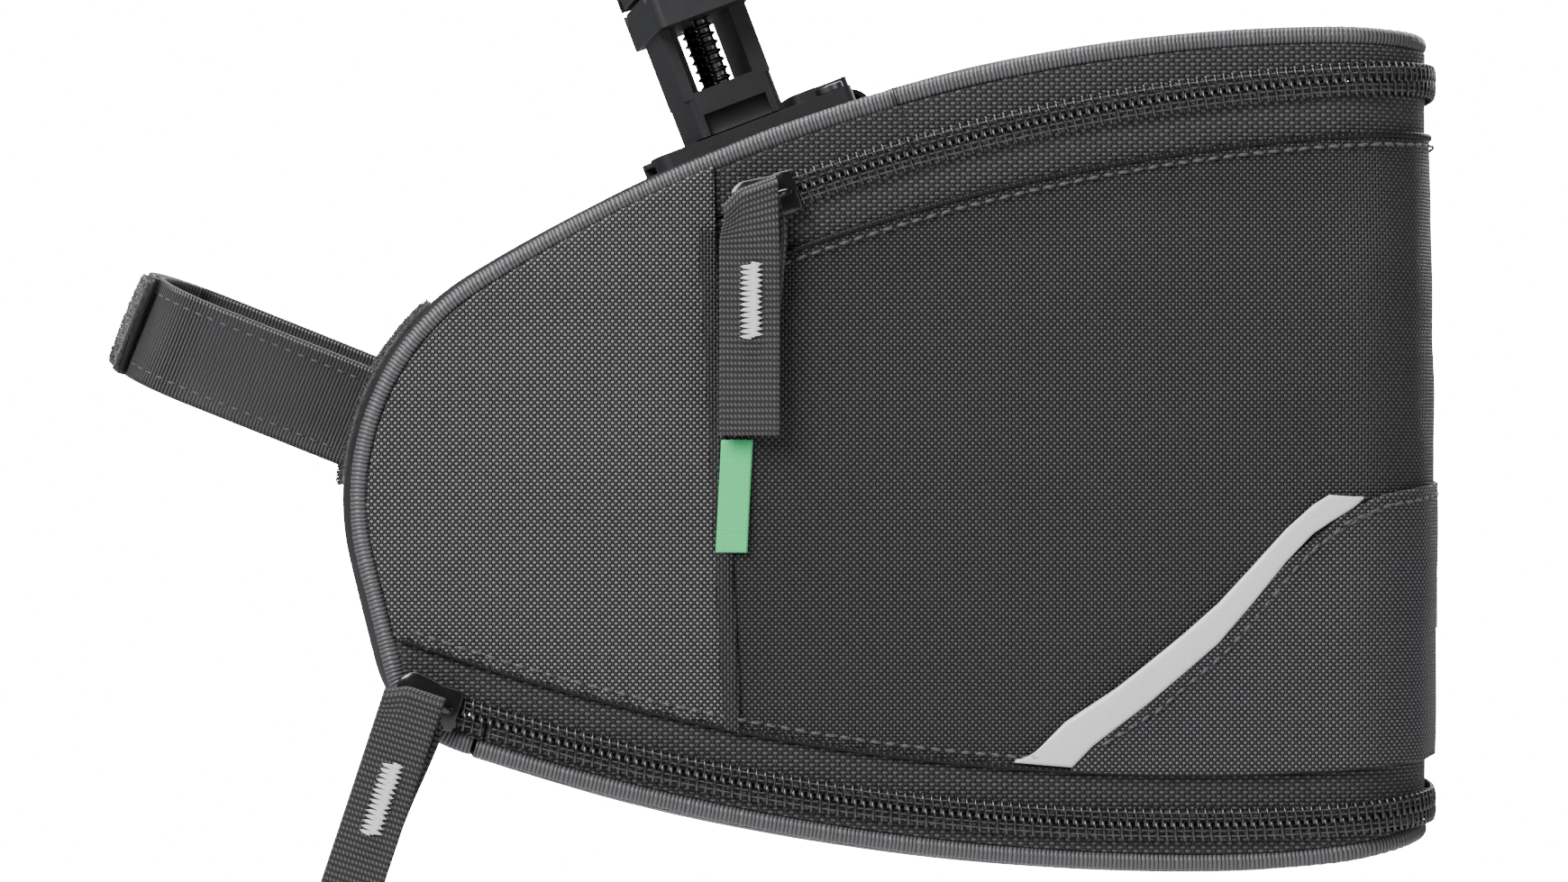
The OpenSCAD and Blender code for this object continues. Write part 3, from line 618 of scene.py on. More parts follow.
def spine_cloth():
    path = between_hinges(side_outline(0, FINE), -0.5, 0.2)
    points, normals = spaced([Vector((p[0], 0, p[1])) for p in path], [Vector((0, 1, 0))] * len(path), 1.0)

    def place(u, v):
        i = u * (len(points) - 1)
        j = min(int(i), len(points) - 2)
        p = points[j].lerp(points[j + 1], i - j)
        t = (points[j + 1] - points[j]).normalized()
        out = Vector((-t.z, 0, t.x))
        out = -out if out.dot(p - Vector((80, 0, 80))) < 0 else out
        across = 2 * v - 1
        y = side_half(p.x, EDGE - 1.2) * across
        crown = 1.1 * (1 - across ** 4) - 0.5 + 0.25 * drift(i / 30, y / 22, 9)
        q = p + out * crown
        return row(q.x, y, q.z), (i, y)

    return settle(cloth("spine_cloth", 200, 46, place, COATED, 1.3), "bag", "coated_cloth", "spine_panel")


def plan_reach(share, d):
    """How far back a line at a given share of the half width runs before it meets the plan, inset by d."""
    low, high = 100.0, REAR_X
    for _ in range(30):
        x = (low + high) / 2
        y = abs(share) * side_half(x, d)
        on_bow = atan2(y, x - BOW_X) <= CORNER_PHI
        inside = hypot(x - BOW_X, y) <= BOW_R - d if on_bow else (
            x <= CORNER[0] - (CORNER_R - d) * sin(TAPER)
            or hypot(x - CORNER[0], y - CORNER[1]) <= CORNER_R - d or y < CORNER[1])
        low, high = (x, high) if inside else (low, x)
    return low


def flat_panel(name, x0, height, crown, body, node, inset):
    reach = {}

    def place(u, v):
        share = 2 * v - 1
        end = reach.setdefault(round(share, 5), plan_reach(share, inset))
        x = x0 + (end - x0) * u
        y = share * side_half(x, inset)
        rise = crown * (1 - share ** 4) * min(1, (1 - u) * 7) ** 0.5 * (0.55 + 0.45 * smooth(u * 5))
        ripple = 0.35 * drift(x / 28, y / 20, 4)
        return row(x, y, height(x) + rise + copysign(ripple, crown) * (1 - share ** 2)), (x, y)

    return settle(cloth(name, 90, 60, place, COATED, 1.3, offset=-1), body, "coated_cloth", node)


# ---------- piping ----------


def edge_path(d_side, d_edge):
    outline = between_hinges(side_outline(d_edge, FINE), 0.1, 0.1)
    points = [row(x, -side_half(x, d_side), z) for x, z in outline]
    normals = [Vector((-sin(TAPER), -cos(TAPER), 0)) for _ in outline]
    return spaced(points, normals, 0.0012)


def mirrored(points, normals):
    return [Vector((p.x, -p.y, p.z)) for p in points], [Vector((n.x, -n.y, n.z)) for n in normals]


def rim_path(x0, inset, height):
    s0 = side_s(x0)
    points, normals = [], []
    count = 420
    for i in range(count + 1):
        s = s0 + (GIRTH - 2 * s0) * i / count
        (x, y), (nx, ny) = plan(s, inset)
        points.append(row(x, y, height(x)))
        normals.append(Vector((nx, ny, 0)))
    return spaced(points, normals, 0.0012)


def beaded(radius):
    """Slightly uneven round, as cloth creases over its cord."""
    return lambda i: radius * (1 + 0.035 * sin(i * 2.9) + 0.02 * sin(i * 0.37))


# ---------- zips ----------


def zip_path(height, x0, step):
    s0 = side_s(x0)
    points, normals = [], []
    count = 1500
    for i in range(count + 1):
        s = s0 + (GIRTH - 2 * s0) * i / count
        (x, y), (nx, ny) = plan(s)
        points.append(row(x, y, height(x)))
        normals.append(Vector((nx, ny, 0)))
    return spaced(points, normals, step)


def beyond_cut(point, hinge, angle):
    p = (point - ORIGIN) / MM
    return (p.x - hinge[0]) * cos(angle) + (p.z - hinge[1]) * sin(angle)


def coil_turn(bm):
    """One turn of the coil, from the tape's edge over to the head that locks at the centre."""
    shape = [(-0.30, 2.75, -0.35), (-0.34, 3.15, 0.05), (-0.24, 2.95, 0.62), (-0.04, 1.9, 0.86),
             (0.12, 0.75, 0.9), (0.2, -0.1, 0.78), (0.22, -0.42, 0.3), (0.2, -0.2, -0.3)]
    points = [Vector(p) * MM for p in shape]
    width = [0.3, 0.34, 0.34, 0.33, 0.33, 0.4, 0.42, 0.3]
    tube(bm, points, [Vector((1, 0, 0))] * len(points), lambda i: width[i], sides=6)


PITCH = 1.7 * MM
TURN = template(coil_turn)


def coil_half(name, path, upward, phase, keep, body, node):
    places = []
    frames = path_frames(*path)
    for i, (point, t, n, b) in enumerate(frames[:-1]):
        if not keep(point):
            continue
        up = b if b.z > 0 else -b
        side = up if upward else -up
        places.append(axes(point + t * PITCH * phase, side.cross(n), side, n))
    return settle(scattered(name, TURN, places, COIL), body, "zip_coil", node)


def zip_threads(name, path, upward, keep, body):
    """Sewing threads that hold the coil to its tape, rising over each turn."""
    bm = bmesh.new()
    for offset in (1.15, 2.2):
        points, normals = [], []
        for i, (point, t, n, b) in enumerate(path_frames(*path)):
            if not keep(point):
                continue
            up = b if b.z > 0 else -b
            side = up if upward else -up
            lift = 1.08 if i % 2 == 0 else 0.5
            points.append(point + side * offset * MM + n * lift * MM)
            normals.append(n)
        runs = [[0]]
        for k in range(1, len(points)):
            if (points[k] - points[k - 1]).length > 4 * MM:
                runs.append([])
            runs[-1].append(k)
        for run in runs:
            if len(run) > 3:
                tube(bm, [points[k] for k in run], [normals[k] for k in run], 0.13, sides=4)
    bmesh.ops.recalc_face_normals(bm, faces=bm.faces)
    return settle(finish_mesh(name, bm, BLACK_THREAD), body, "zip_tape")


def tape_band(name, x0, low, high, body, node, count=300):
    """A strip of tape all round between two heights, a millimetre below the cloth, from x0(v) on."""
    total = GIRTH

    def place(u, v):
        s0 = side_s(x0(v))
        s = s0 + (total - 2 * s0) * u
        (x, _), _ = plan(s)
        z = low(x) + (high(x) - low(x)) * v
        return shell(s, z, -1.0 + 0.12 * drift(s / 12, z / 6, 2)), (s, z)

    return settle(cloth(name, count, 10, place, TAPE, 0.7), body, "zip_tape", node)


def short_band(name, x0, x1, low, high, node, body="bag"):
    """The same strip on both sides, ahead of a hinge."""
    bm = bmesh.new()
    layer = bm.verts.layers.float_vector.new("cloth")
    for right in (False, True):
        first = len(bm.verts)
        made = bmesh.ops.create_grid(bm, x_segments=24, y_segments=10, size=0.5)["verts"]
        for vert in made:
            u, v = vert.co.x + 0.5, vert.co.y + 0.5
            x = x0 + (x1(v) - x0) * u
            z = low(x) + (high(x) - low(x)) * v
            s = side_s(x)
            vert.co = shell(GIRTH - s if right else s, z, -1.0)
            vert[layer] = (s, z, 0)
    bm.normal_update()
    wrong = [f for f in bm.faces if f.normal.dot(f.calc_center_median() - BAG_CENTRE) < 0]
    bmesh.ops.reverse_faces(bm, faces=wrong)
    piece = finish_mesh(name, bm, TAPE)
    modify(piece, "SOLIDIFY", thickness=0.7 * MM, offset=-1)
    return settle(piece, body, "zip_tape", node)


# ---------- stitches ----------


def stitch_shape(bm):
    bmesh.ops.create_uvsphere(bm, u_segments=6, v_segments=4, radius=1.0)


STITCH = template(stitch_shape)


def stitched(name, paths, body, slot="woven_cloth", pitch=2.9, length=2.5, thick=0.33, material=None):
    """Rows of lockstitch: each stitch is a short bead of thread that dips at its ends."""
    places = []
    for points, normals in paths:
        frames = path_frames(*spaced(points, normals, pitch * MM))
        for point, t, n, b in frames[1:-1]:
            tilt = 0.12 * sin(len(places) * 1.3)
            lean = (t + b * tilt).normalized()
            places.append(axes(point, lean * length / 2 * MM, n * thick * 0.8 * MM, lean.cross(n) * thick * MM))
    return settle(scattered(name, STITCH, places, material or BLACK_THREAD), body, slot)


def shell_line(s_values, height, out):
    points = [shell(s, height(plan(s)[0][0]), out) for s in s_values]
    normals = [Vector((*plan(s)[1], 0)) for s in s_values]
    return points, normals


def steps(a, b, n):
    return [a + (b - a) * i / n for i in range(n + 1)]


# ---------- cloth, tapes and zips in place ----------

wrap_cloth()
front_cloth("front_cloth_left", False)
front_cloth("front_cloth_right", True)
spine_cloth()
flat_panel("lid_cloth", LID_HINGE[0] + 0.15, top_z, 1.0, "lid", "lid_panel", 3.8)
flat_panel("base_cloth", TRAY_HINGE[0] + 0.2, keel_z, -1.5, "tray", "tray_panel", 3.8)

left_edge = edge_path(2.1, 2.0)
for name, path, radius, body, node in (
        ("left_piping_cord", left_edge, 1.9, "bag", "piping_left"),
        ("right_piping_cord", mirrored(*left_edge), 1.9, "bag", "piping_right"),
        ("lid_piping_cord", rim_path(LID_HINGE[0] - 0.1, 2.6, lambda x: top_z(x, 2)), 1.9, "lid", "lid_piping"),
        ("base_piping_cord", rim_path(TRAY_HINGE[0] - 0.1, 2.6, lambda x: keel_z(x, 2)), 1.9, "tray", "tray_piping")):
    settle(cord_piece(name, *path, beaded(radius), PIPING, 14), body, "coated_cloth", node)


def front_x(z):
    """Front end of the side wall at a height, just behind the piping."""
    return min(a[0] + (b[0] - a[0]) * (z - a[1]) / (b[1] - a[1]) for a, b in zip(FRONT_EDGE, FRONT_EDGE[1:])
               if a[1] != b[1] and min(a[1], b[1]) <= z <= max(a[1], b[1]) and a[0] < 60)


def lid_tape_top(x):
    return top_z(x, 3.6)


def above_main(x):
    return main_z(x, 0.25)


def below_main(x):
    return main_z(x, -0.25)


def above_base(x):
    return base_z(x, 0.25)


def below_base(x):
    return base_z(x, -0.25)


def chin_tape_low(x):
    return min(crossing(FRONT_EDGE, x)[0], base_z(x, -0.3))


tape_band("main_tape_below", lambda v: 68.2, lambda x: main_z(x, -11.2), below_main, "bag", "main_tape_lower")
short_band("main_tape_fore", 68.2, lambda v: 107.6 - 2.6 * v, above_main, lid_tape_top, "main_tape_front")
tape_band("lid_tape_cloth", lambda v: 107.66 - 2.6 * v, above_main, lid_tape_top, "lid", "lid_tape")
tape_band("base_tape_above", lambda v: front_x(base_z(10, 10.2 * v)), above_base, lambda x: base_z(x, 10.2),
          "bag", "base_tape_upper")
short_band("base_tape_fore", 12.6, lambda v: 25.2 + 0.8 * v, chin_tape_low, below_base, "base_tape_front")
tape_band("tray_tape_cloth", lambda v: 25.5 + 0.8 * v, lambda x: keel_z(x, 3.6), below_base, "tray", "tray_tape")

main_path = zip_path(main_z, 72.6, PITCH)
base_path = zip_path(base_z, 12.6, PITCH)


def on_lid(point):
    return beyond_cut(point, LID_HINGE, LID_CUT) > 0


def on_tray(point):
    return beyond_cut(point, TRAY_HINGE, TRAY_CUT) > 0


for name, path, upward, keep, body, node in (
        ("main_coil_below", main_path, False, lambda p: True, "bag", "main_coil_lower"),
        ("main_coil_fore", main_path, True, lambda p: not on_lid(p), "bag", "main_coil_front"),
        ("lid_coil_turns", main_path, True, on_lid, "lid", "lid_coil"),
        ("base_coil_above", base_path, True, lambda p: True, "bag", "base_coil_upper"),
        ("base_coil_fore", base_path, False, lambda p: not on_tray(p), "bag", "base_coil_front"),
        ("tray_coil_turns", base_path, False, on_tray, "tray", "tray_coil")):
    coil_half(name, path, upward, 0.5 * upward, keep, body, node)
    zip_threads(name + "_threads", path, upward, keep, body)


# ---------- hems, overlays, strips, label, loop ----------


def along_shell(points, out, right=False):
    """A path over the shell from (x, height) pairs on one side."""
    places = [(side_s(x), z) for x, z in points]
    places = [(GIRTH - s if right else s, z) for s, z in places]
    return [shell(s, z, out) for s, z in places], [Vector((*plan(s)[1], 0)) for s, _ in places]


def lines(points, x):
    """Height of a line of (x, height) pairs at x."""
    for a, b in zip(points, points[1:]):
        if a[0] <= x <= b[0]:
            return a[1] + (b[1] - a[1]) * (x - a[0]) / (b[0] - a[0])
    return points[0][1] if x < points[0][0] else points[-1][1]


def round_line(x0, height, out, step=1.0):
    s0 = side_s(x0)
    return spaced(*shell_line(steps(s0, GIRTH - s0, 500), height, out), step * MM)


for name, x0, height in (("main_hem_fold", 70.8, lambda x: main_z(x, MAIN_HEM - 0.5)),
                         ("base_hem_fold", 9.9, lambda x: base_z(x, BASE_HEM + 0.5))):
    settle(cord_piece(name, *round_line(x0, height, -0.15), 0.62, WOVEN, 10, 0.9), "bag", "woven_cloth")

PATCH_EDGE = [(136.9, 19.4), (137.5, 24), (178, 59.5), (189.5, 69.5), (197, 72.6), (226, 77)]


def over_corner(s, x, z):
    """How far the corner overlay stands off the shell."""
    swell = 0.45 * sin(pi * min(1, max(0, (z - base_z(x, 9)) / 100)))
    return 1.0 + swell + 0.6 * crease(s + 90, z, 0.8, 7.0)


def corner_cloth():
    total, start = GIRTH, side_s(137.0)

    def place(u, v):
        s = start + (total - 2 * start) * u
        (x, _), _ = plan(s)
        low = base_z(x, BASE_HEM + 0.4)
        z = low + max(lines(PATCH_EDGE, x) - low, 0.02) * v
        return shell(s, z, over_corner(s, x, z)), (s, z)

    # The corner overlay takes the mid-bright copy of the cloth: painted light.
    return settle(cloth("corner_cloth", 330, 60, place, MIDLIT_CORNER_WOVEN, 0.75), "bag", "woven_cloth", "corner_patch")


corner_cloth()

STRIP_LOW = [(126.4, 21.2), (137.3, 20.3), (141.2, 24.4), (152.2, 32.9), (165, 44), (171.5, 51.7), (177.8, 59.5),
             (183, 65), (190.8, 70.2), (192.6, 71.9)]
STRIP_HIGH = [(130.2, 23.1), (136, 29), (145.7, 35.5), (152.2, 40.7), (158.5, 45.9), (165, 51.7), (171.5, 58.8),
              (177.9, 65.9), (183, 70.5), (186, 72.4)]


def share_of(points, share):
    """The point at a share of a line's length."""
    lengths = [dist(a, b) for a, b in zip(points, points[1:])]
    want = share * sum(lengths)
    for a, b, length in zip(points, points[1:], lengths):
        if want <= length:
            k = want / length
            return a[0] + (b[0] - a[0]) * k, a[1] + (b[1] - a[1]) * k
        want -= length
    return points[-1]


for name, right in (("left_strip", False), ("right_strip", True)):
    def place(u, v, right=right):
        (xa, za), (xb, zb) = share_of(STRIP_LOW, u), share_of(STRIP_HIGH, u)
        x, z = xa + (xb - xa) * v, za + (zb - za) * v
        s = side_s(x)
        s = GIRTH - s if right else s
        out = over_corner(s, x, z) + 0.5 - 0.3 * (2 * v - 1) ** 4 + 0.08 * drift(x / 9, z / 9, 1)
        return shell(s, z, out), (s, z)

    node = "reflector_right" if right else "reflector_left"
    settle(cloth(name, 120, 10, place, SILVER, 0.9), "bag", "reflective_tape", node)


def on_rear(name, half, low, high, out, material, thick, slot, node, across=60, along=14, bend=0.0):
    """A strip across the rear wall."""
    def place(u, v):
        y, z = half * (2 * v - 1), low + (high - low) * u
        return shell(HALF_LEN + y, z, out + bend * sin(pi * u) ** 1.5), (z, y)

    return settle(cloth(name, along, across, place, material, thick), "bag", slot, node)


on_rear("rear_strip", 30, 46, 56, 1.7, SILVER, 0.5, "reflective_tape", "reflector_rear")
on_rear("light_loop_web", 10, 82, 106, 1.0, WEBBING, 0.9, "webbing", "light_loop", 20, 30, 1.5)


def side_label():
    """A label folded double, sewn into the seam by its ends."""
    def place(u, v):
        d = 12.6 * u
        z = 61.4 + 21.5 * v
        root = 69.6 + 0.05 * (z - 61.4)
        if d < 5.6:
            x, out = root + d, 0.45 + 0.03 * d
        elif d > 7:
            x, out = root + 12.6 - d, 1.15 + 0.03 * (12.6 - d)
        else:
            a = (d - 5.6) / 1.4 * pi
            x, out = root + 5.6 + 0.35 * sin(a), 1.0 - 0.35 * cos(a)
        out += 0.25 * max(0, x - root - 2) / 4 * (0.5 + 0.5 * sin(z / 7))
        return shell(side_s(x), z, out), (d, z)

    return settle(cloth("label_cloth", 44, 60, place, LABEL, 0.18, offset=0), "bag", "green_label", "side_label")


side_label()

for name, right in (("left_seam_fold", False), ("right_seam_fold", True)):
    def place(u, v, right=right):
        z0 = 23.5 + 102.5 * v
        x = seam_x(z0) - 3.2 + 3.4 * u
        low, high = base_z(x, BASE_HEM + 0.2), main_z(x, MAIN_HEM + 8) if x > 70 else main_z(70, MAIN_HEM + 8)
        z = low + (high - low) * v
        x = seam_x(z) - 3.2 + 3.4 * u
        s = side_s(x)
        out = 0.55 + 0.6 * sin(pi * min(1.0, u * 1.04)) ** 0.5 + 0.12 * drift(z / 5, u, 3)
        return shell(GIRTH - s if right else s, z, out), (z, s)

    settle(cloth(name, 12, 130, place, WOVEN), "bag", "woven_cloth")

stitch_lines = [round_line(72.4, lambda x: main_z(x, MAIN_HEM - 2.4), 0.62),
                round_line(10.5, lambda x: base_z(x, BASE_HEM + 2.6), 0.66)]
INNER_EDGE = [(141.5, 23.6), (153.6, 31.2), (166.6, 42.4), (173, 49.9), (179.3, 57.8), (184.2, 63),
              (191.5, 67.8), (198.5, 70.4)]
for right in (False, True):
    stitch_lines.append(along_shell(INNER_EDGE, 1.5, right))
rear_run = steps(side_s(181), GIRTH - side_s(181), 200)
stitch_lines.append(spaced(*shell_line(rear_run, lambda x: lines(PATCH_EDGE, x) - 2.3, 1.5), MM))
stitched("hem_stitches", stitch_lines, "bag")


def zigzag(place_at, width, length, turns, radius=0.26):
    """A bartack: dense zigzag of thread. place_at(across, along) gives a point and the way out."""
    points, normals = [], []
    for i in range(turns * 12 + 1):
        t = i / (turns * 12)
        swing = (2 / pi) * asin(sin(2 * pi * turns * t))
        wander = 0.22 * drift(t * 40, 0, width)
        point, out = place_at(width / 2 * swing + wander, length * t)
        points.append(point + out * 0.22 * MM * cos(pi / 2 * swing))
        normals.append(out)
    return points, normals


def loop_tack(z):
    def place_at(across, along):
        return shell(HALF_LEN - 8.5 + along, z + across, 2.15), Vector((1, 0, 0))
    return zigzag(place_at, 1.6, 17, 22, 0.22)


bm = bmesh.new()
for z in (84.0, 104.0):
    tube(bm, *loop_tack(z), 0.24, sides=5)
settle(finish_mesh("light_loop_tacks", bm, WHITE_THREAD), "bag", "white_thread", "light_loop_bartacks")

tape_fold = lambda x: base_z(x) + (x - 24) * 0.16


def gusset_cloth():
    total, start = GIRTH, side_s(45)

    def place(u, v):
        s = start + (total - 2 * start) * u
        (x, _), _ = plan(s)
        low, high = base_z(x, -1.7), tape_fold(x)
        out = -4.25 - 0.3 * cos(v * 18) * sin(pi * v)
        return shell(s, low + (high - low) * v, out), (s, high * v)

    return settle(cloth("gusset_cloth", 220, 24, place, COATED, 0.5), "tray", "woven_cloth", "tray_gusset")


gusset_cloth()


# ---------- sliders and pull tabs ----------


def pull_frame(joint):
    """The slider's own frame: x along the zip, y into the bag, z up. Its origin is on the cloth under the bar."""
    x = -Vector(JOINTS[joint]["axis"]).normalized()
    y = Vector((sin(TAPER), cos(TAPER), 0))
    y = (y - x * y.dot(x)).normalized()
    return axes(Vector(JOINTS[joint]["pos_m"]) + y * 4.8 * MM, x, y, x.cross(y))


def slider_piece(name, place, body, node):
    """Shield-shaped plate with turned-down flanges and a bridge that holds the pull."""
    upper = [on_arc((-3.4, 1.7), 3.2, a) for a in range(180, 74, -15)] + [(2.2, 4.05), (4.2, 4.15), (6.2, 3.8)]
    outline = upper + [(x, -z) for x, z in reversed(upper)]
    bm = bmesh.new()
    ring = bmesh.ops.create_circle(bm, segments=len(outline), radius=1, cap_ends=True)["verts"]
    for vert, (x, z) in zip(ring, outline):
        vert.co = Vector((x, -1.4, z)) * MM
    up = bmesh.ops.extrude_face_region(bm, geom=list(bm.faces))["geom"]
    top = [g for g in up if isinstance(g, bmesh.types.BMVert)]
    bmesh.ops.translate(bm, verts=top, vec=(0, -0.9 * MM, 0))
    crown = [f for f in bm.faces if all(v in top for v in f.verts)]
    bmesh.ops.inset_region(bm, faces=crown, thickness=0.8 * MM)
    lifted = {v for f in crown for v in f.verts}
    bmesh.ops.translate(bm, verts=list(lifted), vec=(0, -0.3 * MM, 0))
    for side in (-1, 1):
        flange = bmesh.ops.create_cube(bm, size=1)["verts"]
        bmesh.ops.transform(bm, matrix=Matrix.Translation(Vector((2.4, -0.75, side * 3.78)) * MM)
                            @ Matrix.Diagonal(Vector((7.0, 1.4, 0.55)) * MM).to_4x4(), verts=flange)
    bmesh.ops.recalc_face_normals(bm, faces=bm.faces)
    post = [(-4.3, -1.9), (-4.35, -3.2), (-4.1, -4.1), (-3.4, -4.7), (-2, -4.8)]
    arch = [Vector((x, y, 0)) * MM for x, y in post + [(-x, y) for x, y in reversed(post)]]
    made = len(bm.faces)
    tube(bm, arch, [Vector((0, 0, 1))] * len(arch), lambda i: 1.0 if i in (0, 9) else 0.8, sides=10)
    bm.faces.ensure_lookup_table()
    bmesh.ops.recalc_face_normals(bm, faces=bm.faces[made:])
    bmesh.ops.transform(bm, matrix=place, verts=bm.verts)
    piece = finish_mesh(name, bm, CASTING)
    modify(piece, "BEVEL", width=0.28 * MM, segments=3, limit_method="ANGLE", angle_limit=radians(35))
    piece.data.set_sharp_from_angle(angle=radians(50))
    return settle(piece, body, "zip_slider", node)


TAB_W, TAB_LEN, TAB_SHIFT = 11.6, 46.0, -2.6


def tab_point(place, lean, down, across, out, rise, width=TAB_W):
    """A point of the webbing: down from its fold, across it, and out from its middle plane."""
    turned = smooth(down / 12)
    p = across * width
    droop = 1.7 * smooth((-across - 0.08) / 0.42) * (1 - smooth(down / 9))
    x = TAB_SHIFT * (width - 6.4) / (TAB_W - 6.4) + p * (1 - turned * (1 - cos(lean))) - down * sin(lean)
    z = rise - down * cos(lean) - p * sin(lean) * turned - droop
    return place @ (Vector((x, -4.8 - out, z)) * MM)


def pull_tab(name, joint, lean, body, nodes, rise):
    place_in = pull_frame(joint)
    wrap = pi * 1.25
    total = 2 * TAB_LEN + wrap

    def place(u, v):
        d = total * u
        across = v - 0.5
        bow = 0.3 * drift(d / 16, across, lean)
        narrow = 6.4 + (TAB_W - 6.4) * smooth(abs(max(TAB_LEN - d, 0) - rise) / 6)
        if d < TAB_LEN:
            down = TAB_LEN - d
            back = 0.95 * smooth((20 - down) / 20) + 0.45
            shifted = across + 0.13 * smooth(down / 7) * smooth((26 - down) / 22)
            return tab_point(place_in, lean, down, shifted, -back + bow, rise, narrow), (d, across * TAB_W)
        if d > TAB_LEN + wrap:
            down = d - TAB_LEN - wrap
            front = 0.45 + 0.6 * smooth((20 - down) / 20)
            return tab_point(place_in, lean, down, across, front + bow, rise), (d, across * TAB_W)
        a = (d - TAB_LEN) / wrap
        out = bow - 1.2 * cos(pi * a)
        up = rise + 1.2 * sin(pi * a)
        width = narrow + (TAB_W - narrow) * smooth(a * 2)
        return tab_point(place_in, lean, 0.0, across, out, up, width), (d, across * TAB_W)

    piece = settle(cloth(name, 150, 16, place, WEBBING, 0.78, offset=0), body, "webbing", nodes[0])

    def place_at(across, along):
        point = tab_point(place_in, lean, 13.2 + along, (across + 0.35) / TAB_W, 1.0, rise)
        return point, (place_in.to_3x3() @ Vector((0, -1, 0)))

    bm = bmesh.new()
    tube(bm, *zigzag(place_at, 3.9, 14.3, 14), 0.28, sides=6)
    tube(bm, *zigzag(lambda a, b: place_at(a * 0.6 + 0.6, b + 0.4), 2.4, 13.6, 17), 0.28, sides=6)
    settle(finish_mesh(name + "_tack", bm, WHITE_THREAD), body, "white_thread", nodes[1])
    return piece


main_lean = asin((MAIN_ZIP[0] - 79.2) / MAIN_ZIP[2])
slider_piece("main_slider_cast", pull_frame("upper_tab_swing"), "upper_slider", "main_slider")
slider_piece("base_slider_cast", pull_frame("lower_tab_swing"), "lower_slider", "base_slider")
pull_tab("main_pull", "upper_tab_swing", main_lean, "upper_tab", ("main_tab", "main_tab_bartack"), 2.0)
pull_tab("base_pull", "lower_tab_swing", 0.0, "lower_tab", ("base_tab", "base_tab_bartack"), 0.5)


# ---------- seatpost strap ----------

STRAP_AT = (Matrix.Translation(row(3, 0, 88.5)) @ Matrix.Rotation(radians(201.8), 4, "Y")
            @ Matrix.Rotation(radians(-6), 4, "X"))
REACH = 31.5


def strap_line(x0, radius, a0, a1):
    """Centre line of one strap: straight, then round the seatpost."""
    side = radius if a0 > 0 else -radius
    line = [(x0 + (REACH - x0) * i / 30, side) for i in range(30)]
    return line + arc_points((REACH, 0), radius, a0, a1, 40)


def strap_sheet(name, line, width, thick, body, node, material=STRAP, slot="strap_webbing"):
    points, _ = spaced([Vector((x, y, 0)) for x, y in line], [Vector((0, 0, 1))] * len(line), 0.7)

    def place(u, v):
        i = u * (len(points) - 1)
        j = min(int(i), len(points) - 2)
        p = points[j].lerp(points[j + 1], i - j)
        t = (points[j + 1] - points[j]).normalized()
        out = Vector((-t.y, t.x, 0))
        z = width * (v - 0.5)
        wave = 0.3 * drift(i / 24, v * 1.5, radius_seed) - 0.15 * (2 * v - 1) ** 4
        p = p + out * wave + Vector((0, 0, z))
        return STRAP_AT @ (p * MM), (i * 0.7, z)

    radius_seed = width + len(points) / 10
    middle = STRAP_AT @ Vector((REACH * MM, 0, 0))
    return settle(cloth(name, 110, 22, place, material, thick, middle, offset=0), body, slot, node)


INNER_LINE = strap_line(-0.6, 14.6, -90, 62)
OUTER_LINE = strap_line(8.5, 16.7, 90, -28)
strap_sheet("strap_inner_web", INNER_LINE, 20, 1.3, "bag", "strap_inner")
strap_sheet("strap_stub_web", [(-0.6 + 0.51 * i, 16.7) for i in range(19)], 20, 1.3, "bag", "strap_stub")
strap_sheet("strap_outer_web", OUTER_LINE, 20, 1.3, "strap_wing", "strap_outer")
strap_sheet("hook_patch_pile", arc_points((REACH, 0), 18.0, 24, -27, 24), 18, 0.7, "strap_wing",
            "strap_hook_patch", PILE, "hook_fuzz")


def strap_stitches(name, line, body):
    rows = []
    for z in (-7.2, 7.2):
        points = []
        normals = []
        for i, (x, y) in enumerate(line):
            a, b = line[max(i - 1, 0)], line[min(i + 1, len(line) - 1)]
            t = Vector((b[0] - a[0], b[1] - a[1], 0)).normalized()
            n = Vector((t.y, -t.x, 0))
            n = n if n.dot(Vector((x - REACH, y, 0)) if x > REACH else Vector((0, y, 0))) > 0 else -n
            points.append(STRAP_AT @ ((Vector((x, y, z)) + n * 0.72) * MM))
            normals.append(STRAP_AT.to_3x3() @ n)
        rows.append((points, normals))
    return stitched(name, rows, body, "strap_webbing", pitch=2.7, length=1.9, thick=0.22)


strap_stitches("strap_inner_stitches", INNER_LINE[2:], "bag")
strap_stitches("strap_outer_stitches", OUTER_LINE[2:], "strap_wing")


def anchor_pile():
    """Loop-pile patch on the nose that the strap is sewn to."""
    path = [p for p in side_outline(-1.15) if 74 < p[1] < 110 and p[0] < 60]

    def place(u, v):
        x, z = path[min(int(u * (len(path) - 1) + 0.5), len(path) - 1)]
        return row(x, 36 * (v - 0.5), z), (u * 36, v * 36)

    return settle(cloth("anchor_pile", len(path) - 1, 36, place, PILE, 1.1), "bag", "hook_fuzz", "strap_anchor")


anchor_pile()


def hair_shape(bm):
    bmesh.ops.create_cone(bm, segments=3, radius1=0.13 * MM, radius2=0.04 * MM, depth=1.0 * MM)


HAIR = template(hair_shape)


